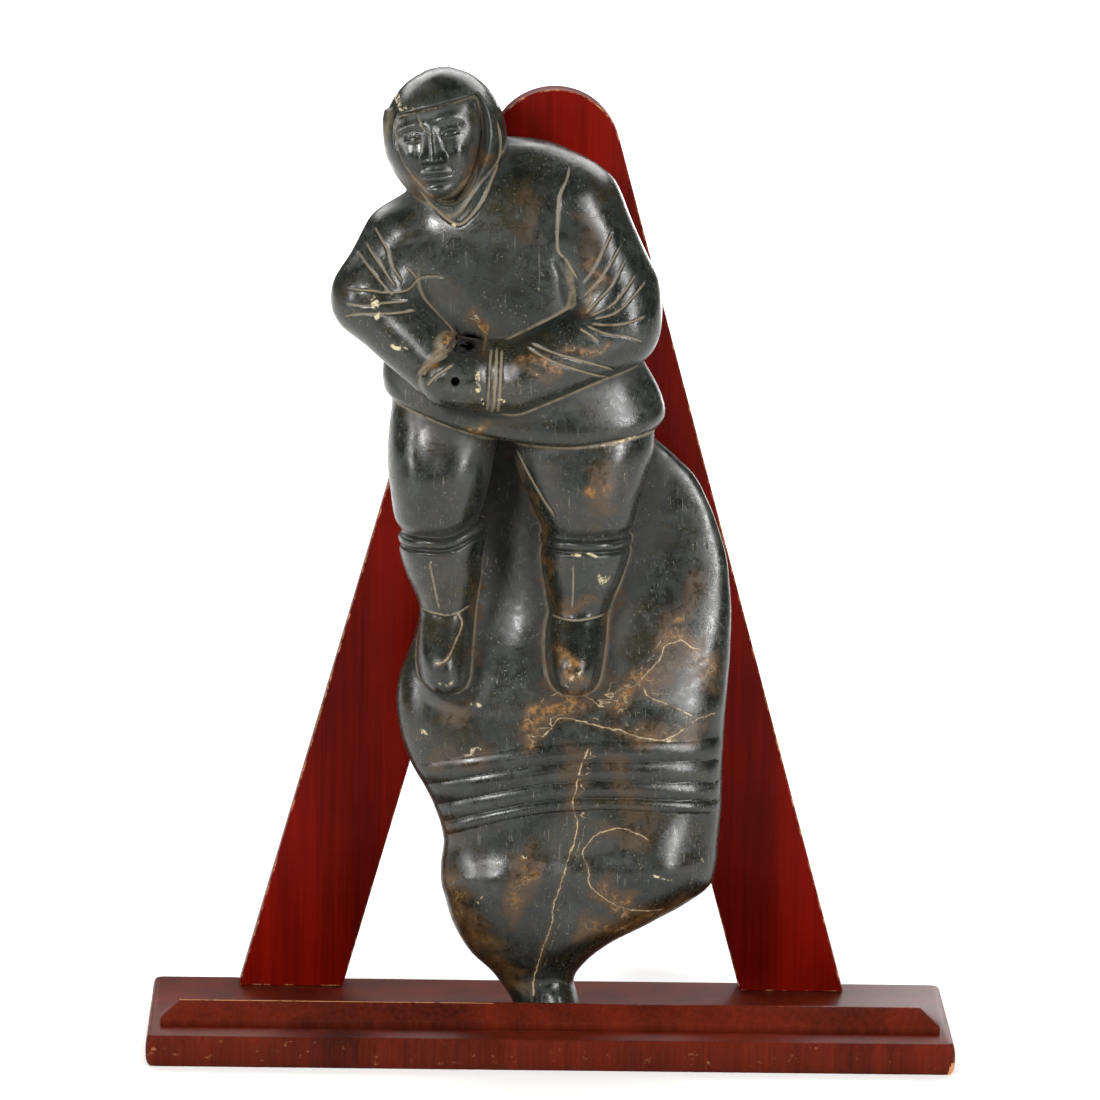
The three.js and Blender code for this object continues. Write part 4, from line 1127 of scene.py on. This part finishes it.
def drill_hole(piece):
    """Drills the blind hole into the fist's front."""
    x, z, radius = HOLE
    middle = to_world(np.array([[x, HOLE_BOTTOM - DRILL_LENGTH / 2, z]]))[0]
    bpy.ops.object.select_all(action="DESELECT")
    bpy.ops.mesh.primitive_cylinder_add(
        vertices=32, radius=radius * MM, depth=DRILL_LENGTH * MM, location=middle,
        rotation=(-math.pi / 2 - LEAN, 0, 0))
    drill = bpy.context.active_object
    apply_modifier(piece, "hole", "BOOLEAN", operation="DIFFERENCE", object=drill)
    bpy.data.objects.remove(drill)


def hex_colour(name, where, default):
    """Property that holds an sRGB hex colour."""
    return bpy.props.StringProperty(
        name=name, description="sRGB hex colour " + where, default=default)


class HunterCarvingSettings(bpy.types.PropertyGroup):
    """Fineness and finish of the carving."""
    coarse_step: bpy.props.FloatProperty(
        name="Coarse step", description="Face size of the first remesh, in mm", default=2.2)
    fine_step: bpy.props.FloatProperty(
        name="Fine step", description="Face size of the carved surface, in mm", default=0.9)
    face_limit: bpy.props.IntProperty(
        name="Triangles", description="Most triangles the carving keeps", default=194000)
    polish: bpy.props.FloatProperty(
        name="Polish", description="Roughness of the clean waxed stone", default=0.19,
        subtype="FACTOR")
    # The dark and the brown stone are also painted into the hollows, as shade.
    stone_dark_and_shade: hex_colour("Dark stone", "of the main stone", "#0d0f0b")
    stone_green: hex_colour("Green stone", "of its mottling", "#181c17")
    stone_grey: hex_colour("Grey stone", "of its clouds", "#292c26")
    stone_olive: hex_colour("Olive stone", "of its olive patches", "#2a2717")
    stone_brown_and_shade: hex_colour("Brown stone", "of warm patches", "#2c2012")
    stone_pale: hex_colour("Flecks", "of fine flecks", "#6d6b5c")
    rust_dark: hex_colour("Dark ochre", "around the stains", "#3d2b13")
    rust: hex_colour("Ochre", "of the stains", "#77501c")
    vein: hex_colour("Vein", "of the veins", "#9c8b68")
    dust: hex_colour("Dust", "of dust in the carving", "#6f6450")
    chip: hex_colour("Chips", "of fresh chips", "#b5a884")


class HunterStandSettings(bpy.types.PropertyGroup):
    """Finish of the wooden stand."""
    gloss: bpy.props.FloatProperty(
        name="Gloss", description="Roughness of the lacquer", default=0.32, subtype="FACTOR")
    coat: bpy.props.FloatProperty(
        name="Coat", description="Share of the usual mirror light that the lacquer gives",
        default=0.04, subtype="FACTOR")
    frame_light: hex_colour("Frame, light", "of the frame", "#6c0c03")
    frame_dark: hex_colour("Frame, dark", "of its grain", "#440602")
    board_light: hex_colour("Board, light", "of the board", "#5a1c0d")
    board_dark: hex_colour("Board, dark", "of its grain", "#30100a")
    bare_wood: hex_colour("Bare wood", "where the stain is rubbed off", "#b07a52")


class HunterStageSettings(bpy.types.PropertyGroup):
    """Floor, lights and camera."""
    floor_size: bpy.props.FloatProperty(
        name="Floor size", description="Side of the floor", default=24.0, unit="LENGTH")
    floor_colour: hex_colour("Floor", "of the floor", "#ececea")
    world_strength: bpy.props.FloatProperty(
        name="Room light", description="Strength of the even light", default=0.12)
    ceiling_power: bpy.props.FloatProperty(
        name="Ceiling light", description="Power of the light from above, in watts",
        default=380.0)


# Depths at which the stains and chips begin to show and are full, so that the flat back has none.
STAINED_FRONT = (-12, -22)
# How far below the surface the ridges are felt for, in mm.
RIDGE_DEPTH = 4


def finish_attributes(mesh, drawn, slope):
    """What the stone's finish reads at each vertex, by name."""
    parts = {}
    carving_distance(drawn, parts)
    front = smooth(*STAINED_FRONT, drawn[:, 1])
    parts["rust"] = stain_field(RUST, drawn[:, 0], drawn[:, 2], STAIN_DRIFT) * front
    parts["chip"] = stain_field(CHIPS, drawn[:, 0], drawn[:, 2], ()) * front
    # How enclosed each place is: it paints shade into the stone's colour and dulls its polish.
    parts["hollow"] = evened(mesh, hollow_share(mesh, turn_to_world(slope)))
    parts["ridge"] = 1 + carving_distance(drawn - slope * RIDGE_DEPTH) / RIDGE_DEPTH
    return parts


class HUNTER_OT_carving(bpy.types.Operator):
    """Carve the hunter out of its solid and polish it"""
    bl_idname = "hunter.carving"
    bl_label = "Carving"

    def execute(self, context):
        settings = context.scene.hunter_carving
        piece = merged_copy("hunter_carving", "hunter_stone")
        apply_modifier(piece, "coarse", "REMESH", mode="VOXEL",
                       voxel_size=settings.coarse_step * MM)
        settle_mesh(piece, 4)
        step = settings.fine_step
        apply_modifier(piece, "fine", "REMESH", mode="VOXEL", voxel_size=step * MM)
        settle_mesh(piece, 3)
        faces = sum(len(p.vertices) - 2 for p in piece.data.polygons)
        if faces > settings.face_limit:
            apply_modifier(piece, "thin", "DECIMATE", ratio=settings.face_limit / faces)
        settle_mesh(piece, 2)
        drill_hole(piece)

        drawn = to_drawn(read_points(piece.data))
        slope = gradient(drawn)
        slope /= np.linalg.norm(slope, axis=1)[:, None]
        for name, values in finish_attributes(piece.data, drawn, slope).items():
            write_attribute(piece.data, name, values)
        signed, shown = vein_field(drawn)
        veins = piece.data.attributes.new("vein", "FLOAT_VECTOR", "POINT")
        values = np.stack([signed, shown, np.zeros_like(signed)], axis=1)
        veins.data.foreach_set("vector", values.astype(np.float32).ravel())

        slope = turn_to_world(slope)
        piece.data.polygons.foreach_set("use_smooth", [True] * len(piece.data.polygons))
        piece.data.normals_split_custom_set_from_vertices(slope)
        finish_piece(piece, "hunter_carving", soapstone(settings))
        return {"FINISHED"}


# Stand: sizes that the boxes of its solids don't give, in mm. The board's edge bulges out over a
# share of its thickness at the top and at the bottom, and its corners are rounded.
BULGE = 2.5
BULGE_SHARE = 0.4
CORNER = 4.0
# Upright edge of the lip and the width of its bevel.
LIP_EDGE = 4.5
LIP_BEVEL = 11.5
# Width of the frame's legs, radius of its top, and how far every sharp edge is broken.
LEG_WIDTH = 60.6
TOP_RADIUS = 39.5
ARRIS = 0.8
# Chipped corner of the board: its width, and which way the break faces.
CHIP_WIDTH = 6.0
CHIP_SLOPE = (1 / 6, -1 / 7, -1 / 12)


def pick(piece, kind, chosen):
    """Selects the vertices, edges or faces of a mesh that pass a test, for the next edit."""
    bpy.ops.mesh.select_mode(type=kind)
    bpy.ops.mesh.select_all(action="DESELECT")
    bpy.ops.object.mode_set(mode="OBJECT")
    mesh = piece.data
    parts = {"VERT": mesh.vertices, "EDGE": mesh.edges, "FACE": mesh.polygons}[kind]
    for part in parts:
        part.select = chosen(part)
    bpy.ops.object.mode_set(mode="EDIT")


def new_piece(name):
    """Names the primitive just added and opens it for editing."""
    piece = bpy.context.active_object
    piece.name = name
    select_only(piece)
    bpy.ops.object.mode_set(mode="EDIT")
    bpy.ops.mesh.select_all(action="SELECT")
    return piece


def extrude(move):
    bpy.ops.mesh.extrude_region_move(TRANSFORM_OT_translate={"value": move})


def resize(value, centre):
    bpy.ops.transform.resize(value=value, center_override=centre)


def close_editing(piece, node, wood, wear):
    """Leaves edit mode and finishes a piece of the stand. Wear is asked for each face."""
    bpy.ops.mesh.select_all(action="SELECT")
    bpy.ops.mesh.normals_make_consistent(inside=False)
    bpy.ops.object.mode_set(mode="OBJECT")
    made = piece.data.attributes.new("wear", "FLOAT", "FACE")
    made.data.foreach_set("value", [wear(face) for face in piece.data.polygons])
    bpy.ops.object.shade_smooth_by_angle(angle=math.radians(28))
    finish_piece(piece, node, wood)


def cut_across(places):
    """Cuts the whole mesh into lengths, so that wear can differ along it."""
    for x in places:
        bpy.ops.mesh.select_all(action="SELECT")
        bpy.ops.mesh.bisect(plane_co=(x * MM, 0, 0), plane_no=(1, 0, 0))


def base_board(wood):
    """Board with rounded corners and a rounded edge all round, chipped at its right front end."""
    low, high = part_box("base_board")
    flat = [high[k] - low[k] - 2 * BULGE * MM for k in (0, 1)]
    thick = high.z - low.z
    bpy.ops.mesh.primitive_plane_add(size=1)
    piece = new_piece("base_board_wood")
    resize((flat[0], flat[1], 1), (0, 0, 0))
    bpy.ops.mesh.bevel(offset=CORNER * MM, segments=8, affect="VERTICES")
    angles = [math.radians(15 * k) for k in range(1, 7)]
    rise = BULGE_SHARE * thick
    steps = [(rise * (1 - math.cos(a)), BULGE * MM * math.sin(a)) for a in angles]
    steps += [(thick - z, reach) for z, reach in reversed([(0, 0)] + steps)]
    height, size = 0, list(flat)
    for z, reach in steps:
        extrude((0, 0, z - height))
        wider = [side + 2 * reach for side in flat]
        resize((wider[0] / size[0], wider[1] / size[1], 1), (0, 0, 0))
        height, size = z, wider
    bpy.ops.mesh.select_all(action="SELECT")
    chip = Vector(CHIP_SLOPE).normalized()
    bpy.ops.mesh.bisect(plane_co=(high.x - CHIP_WIDTH * MM, low.y, 0), plane_no=CHIP_SLOPE,
                        clear_outer=True, use_fill=True)
    cut_across((-150, -60, 40, 130, 226))

    def wear(face):
        if face.normal.dot(chip) > 0.995:
            return 3.0
        return 0.5 if abs(face.normal.z) < 0.3 else 0.0

    close_editing(piece, "base_board", wood, wear)


def front_lip(wood):
    """Strip with an upright edge and a long bevel on its front and ends."""
    low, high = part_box("front_lip")
    middle, size = (low + high) / 2, high - low
    bpy.ops.mesh.primitive_cube_add(size=1)
    piece = new_piece("front_lip_wood")
    resize((size.x, size.y, LIP_EDGE * MM), (0, 0, 0))
    bpy.ops.transform.translate(value=(middle.x, middle.y, low.z + LIP_EDGE / 2 * MM))
    pick(piece, "FACE", lambda face: face.normal.z > 0.5)
    extrude((0, 0, size.z - LIP_EDGE * MM))
    resize((1 - 2 * LIP_BEVEL * MM / size.x, 1 - LIP_BEVEL * MM / size.y, 1),
           (middle.x, high.y, high.z))
    bpy.ops.mesh.select_all(action="SELECT")
    bpy.ops.mesh.bevel(offset=ARRIS * 0.6 * MM, segments=2)
    cut_across((-214, -182, -120, -96, -34, 60, 190, 214))

    def wear(face):
        narrow = face.center.z > high.z - 0.8 * MM and face.normal.z < 0.98
        return (0.85 if face.center.x < -34 * MM else 0.55) * narrow

    close_editing(piece, "front_lip", wood, wear)


def back_frame(wood):
    """A-shaped board: its outer edges run from the feet to the round top, its inner edges beside
    them."""
    low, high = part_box("back_frame")
    middle = (low.x + high.x) / 2
    foot = (high.x - low.x) / 2
    top = high.z - low.z - TOP_RADIUS * MM
    slant = math.atan(foot / top) - math.asin(TOP_RADIUS * MM / math.hypot(foot, top))
    inner = foot - LEG_WIDTH * MM / math.cos(slant)
    crotch = inner / math.tan(slant)
    reach = TOP_RADIUS * MM
    corners = [(-reach * math.cos(slant), top + reach * math.sin(slant)), (-foot, 0), (-inner, 0),
               (0, crotch), (inner, 0), (foot, 0)]

    bpy.ops.mesh.primitive_plane_add(size=1)
    piece = new_piece("back_frame_wood")
    pick(piece, "VERT", lambda vertex: vertex.index > 0)
    bpy.ops.mesh.delete(type="VERT")
    bpy.ops.mesh.select_all(action="SELECT")
    start = (middle - corners[0][0], low.y, low.z + corners[0][1])
    bpy.ops.transform.translate(value=[start[k] - c for k, c in enumerate((-0.5, -0.5, 0))])
    bpy.ops.mesh.spin(steps=60, angle=math.pi - 2 * slant, center=(middle, low.y, low.z + top),
                      axis=(0, 1, 0))
    for (x0, z0), (x1, z1) in zip(corners, corners[1:]):
        bpy.ops.mesh.extrude_vertices_move(
            TRANSFORM_OT_translate={"value": (x1 - x0, 0, z1 - z0)})
    first, last = Vector(start), Vector((middle + foot, low.y, low.z))
    pick(piece, "VERT", lambda v: min((v.co - first).length, (v.co - last).length) < 0.1 * MM)
    bpy.ops.mesh.edge_face_add()
    bpy.ops.mesh.select_all(action="SELECT")
    bpy.ops.mesh.edge_face_add()
    extrude((0, high.y - low.y, 0))
    bpy.ops.mesh.select_mode(type="EDGE")
    bpy.ops.mesh.select_all(action="DESELECT")
    bpy.ops.mesh.edges_select_sharp(sharpness=math.radians(30))
    bpy.ops.mesh.bevel(offset=ARRIS * MM, segments=2)

    def wear(face):
        return 0.64 if 0.1 < abs(face.normal.y) < 0.98 else 0.0

    close_editing(piece, "back_frame", wood, wear)


class HUNTER_OT_stand(bpy.types.Operator):
    """Join the board, its lip and the frame behind"""
    bl_idname = "hunter.stand"
    bl_label = "Stand"

    def execute(self, context):
        settings = context.scene.hunter_stand
        frame_wood = stained_wood("cherry_stained_frame", settings, settings.frame_light,
                                  settings.frame_dark, (0, 0, 0))
        board_wood = stained_wood("cherry_stained_board", settings, settings.board_light,
                                  settings.board_dark, (0, math.pi / 2, 0))
        base_board(board_wood)
        front_lip(board_wood)
        back_frame(frame_wood)
        return {"FINISHED"}


# Photograph's camera: the point it looks at, its distance, how it is turned, and its focal length
# as a share of the picture's width.
LOOK_AT = (-4.04, 0.0, 301.02)
DISTANCE = 4450.7
PITCH = 0.202746
YAW = -0.019997
ROLL = 0.016658
SENSOR = 36.0
FOCAL_SHARE = 7500 / 1100


def make_camera(scene):
    ahead = Vector((-math.sin(YAW) * math.cos(PITCH), math.cos(YAW) * math.cos(PITCH),
                    -math.sin(PITCH)))
    right = ahead.cross(Vector((0, 0, 1))).normalized()
    up = right.cross(ahead)
    side = right * math.cos(ROLL) + up * math.sin(ROLL)
    top = up * math.cos(ROLL) - right * math.sin(ROLL)
    data = bpy.data.cameras.new("camera")
    data.sensor_width = SENSOR
    data.lens = SENSOR * FOCAL_SHARE
    data.clip_end = 100
    camera = bpy.data.objects.new("camera", data)
    scene.collection.objects.link(camera)
    turn = Matrix((side, top, -ahead)).transposed().to_4x4()
    place = (Vector(LOOK_AT) - ahead * DISTANCE) * MM
    camera.matrix_world = Matrix.Translation(place) @ turn
    scene.camera = camera


# Soft boxes: azimuth from the camera's side (positive to its right), height, distance and size in
# metres, and power in watts. They all aim at the middle of the carving.
AIM = (0, 0, 0.3)
SOFT_BOXES = (
    ("right_box", 44, 1.0, 2.0, (0.17, 1.5), 42),
    ("left_box", -66, 0.8, 1.9, (0.12, 1.0), 14),
    ("upper_left_box", -36, 1.5, 2.2, (0.40, 0.40), 42),
    ("upper_right_box", 30, 1.6, 2.2, (0.20, 0.50), 6),
    ("front_box", -8, 0.9, 3.2, (0.40, 0.40), 4),
    ("back_box", 162, 0.4, 1.7, (0.50, 0.50), 5.0),
)
# The wide box that hangs behind the carving lights the paper from above.
CEILING_SIZE = (5.5, 5.0)
CEILING_PLACE = (0, 3.7, 2.6)


def hang_box(scene, name, size, power, place):
    """Soft box that shines straight down until it is turned."""
    data = bpy.data.lights.new(name, "AREA")
    data.shape = "RECTANGLE"
    data.size, data.size_y = size
    data.energy = power
    light = bpy.data.objects.new(name, data)
    light.location = place
    scene.collection.objects.link(light)
    return light


class HUNTER_OT_stage(bpy.types.Operator):
    """Lay the floor, hang the lights and set the camera"""
    bl_idname = "hunter.stage"
    bl_label = "Stage"

    def execute(self, context):
        scene = context.scene
        settings = scene.hunter_stage
        bpy.ops.object.select_all(action="DESELECT")
        bpy.ops.mesh.primitive_plane_add(size=settings.floor_size)
        floor = context.active_object
        floor.name = "floor"
        bpy.ops.object.transform_apply(location=True, rotation=True, scale=True)
        floor.data.materials.append(studio_paper(settings))

        world = bpy.data.worlds.new("studio")
        world.use_nodes = True
        background = world.node_tree.nodes["Background"]
        background.inputs["Color"].default_value = linear(ROOM_COLOUR)
        background.inputs["Strength"].default_value = settings.world_strength
        scene.world = world
        scene.view_settings.view_transform = "Standard"

        for name, azimuth, height, distance, size, power in SOFT_BOXES:
            turn = math.radians(azimuth)
            place = (distance * math.sin(turn), -distance * math.cos(turn), height)
            light = hang_box(scene, name, size, power, place)
            light.visible_camera = False
            aim = Vector(AIM) - light.location
            light.rotation_euler = aim.to_track_quat("-Z", "Y").to_euler()
        hang_box(scene, "ceiling_box", CEILING_SIZE, settings.ceiling_power, CEILING_PLACE)
        make_camera(scene)
        return {"FINISHED"}


class HUNTER_PT_panel(bpy.types.Panel):
    """Lists what can be made and set"""
    bl_idname = "HUNTER_PT_panel"
    bl_label = "Soapstone hunter"
    bl_space_type = "VIEW_3D"
    bl_region_type = "UI"
    bl_category = "Hunter"

    def draw(self, context):
        groups = (("hunter.carving", context.scene.hunter_carving),
                  ("hunter.stand", context.scene.hunter_stand),
                  ("hunter.stage", context.scene.hunter_stage))
        for operator, settings in groups:
            box = self.layout.box()
            box.operator(operator)
            for name in settings.__annotations__:
                box.prop(settings, name)


CLASSES = (HunterCarvingSettings, HunterStandSettings, HunterStageSettings,
           HUNTER_OT_carving, HUNTER_OT_stand, HUNTER_OT_stage, HUNTER_PT_panel)
SETTINGS = {"hunter_carving": HunterCarvingSettings, "hunter_stand": HunterStandSettings,
            "hunter_stage": HunterStageSettings}


def register():
    for made in CLASSES:
        bpy.utils.register_class(made)
    for name, group in SETTINGS.items():
        setattr(bpy.types.Scene, name, bpy.props.PointerProperty(type=group))


def unregister():
    for name in SETTINGS:
        delattr(bpy.types.Scene, name)
    for made in reversed(CLASSES):
        bpy.utils.unregister_class(made)


def main():
    register()
    bpy.ops.hunter.carving()
    bpy.ops.hunter.stand()
    bpy.ops.hunter.stage()


if __name__ == "__main__":
    main()
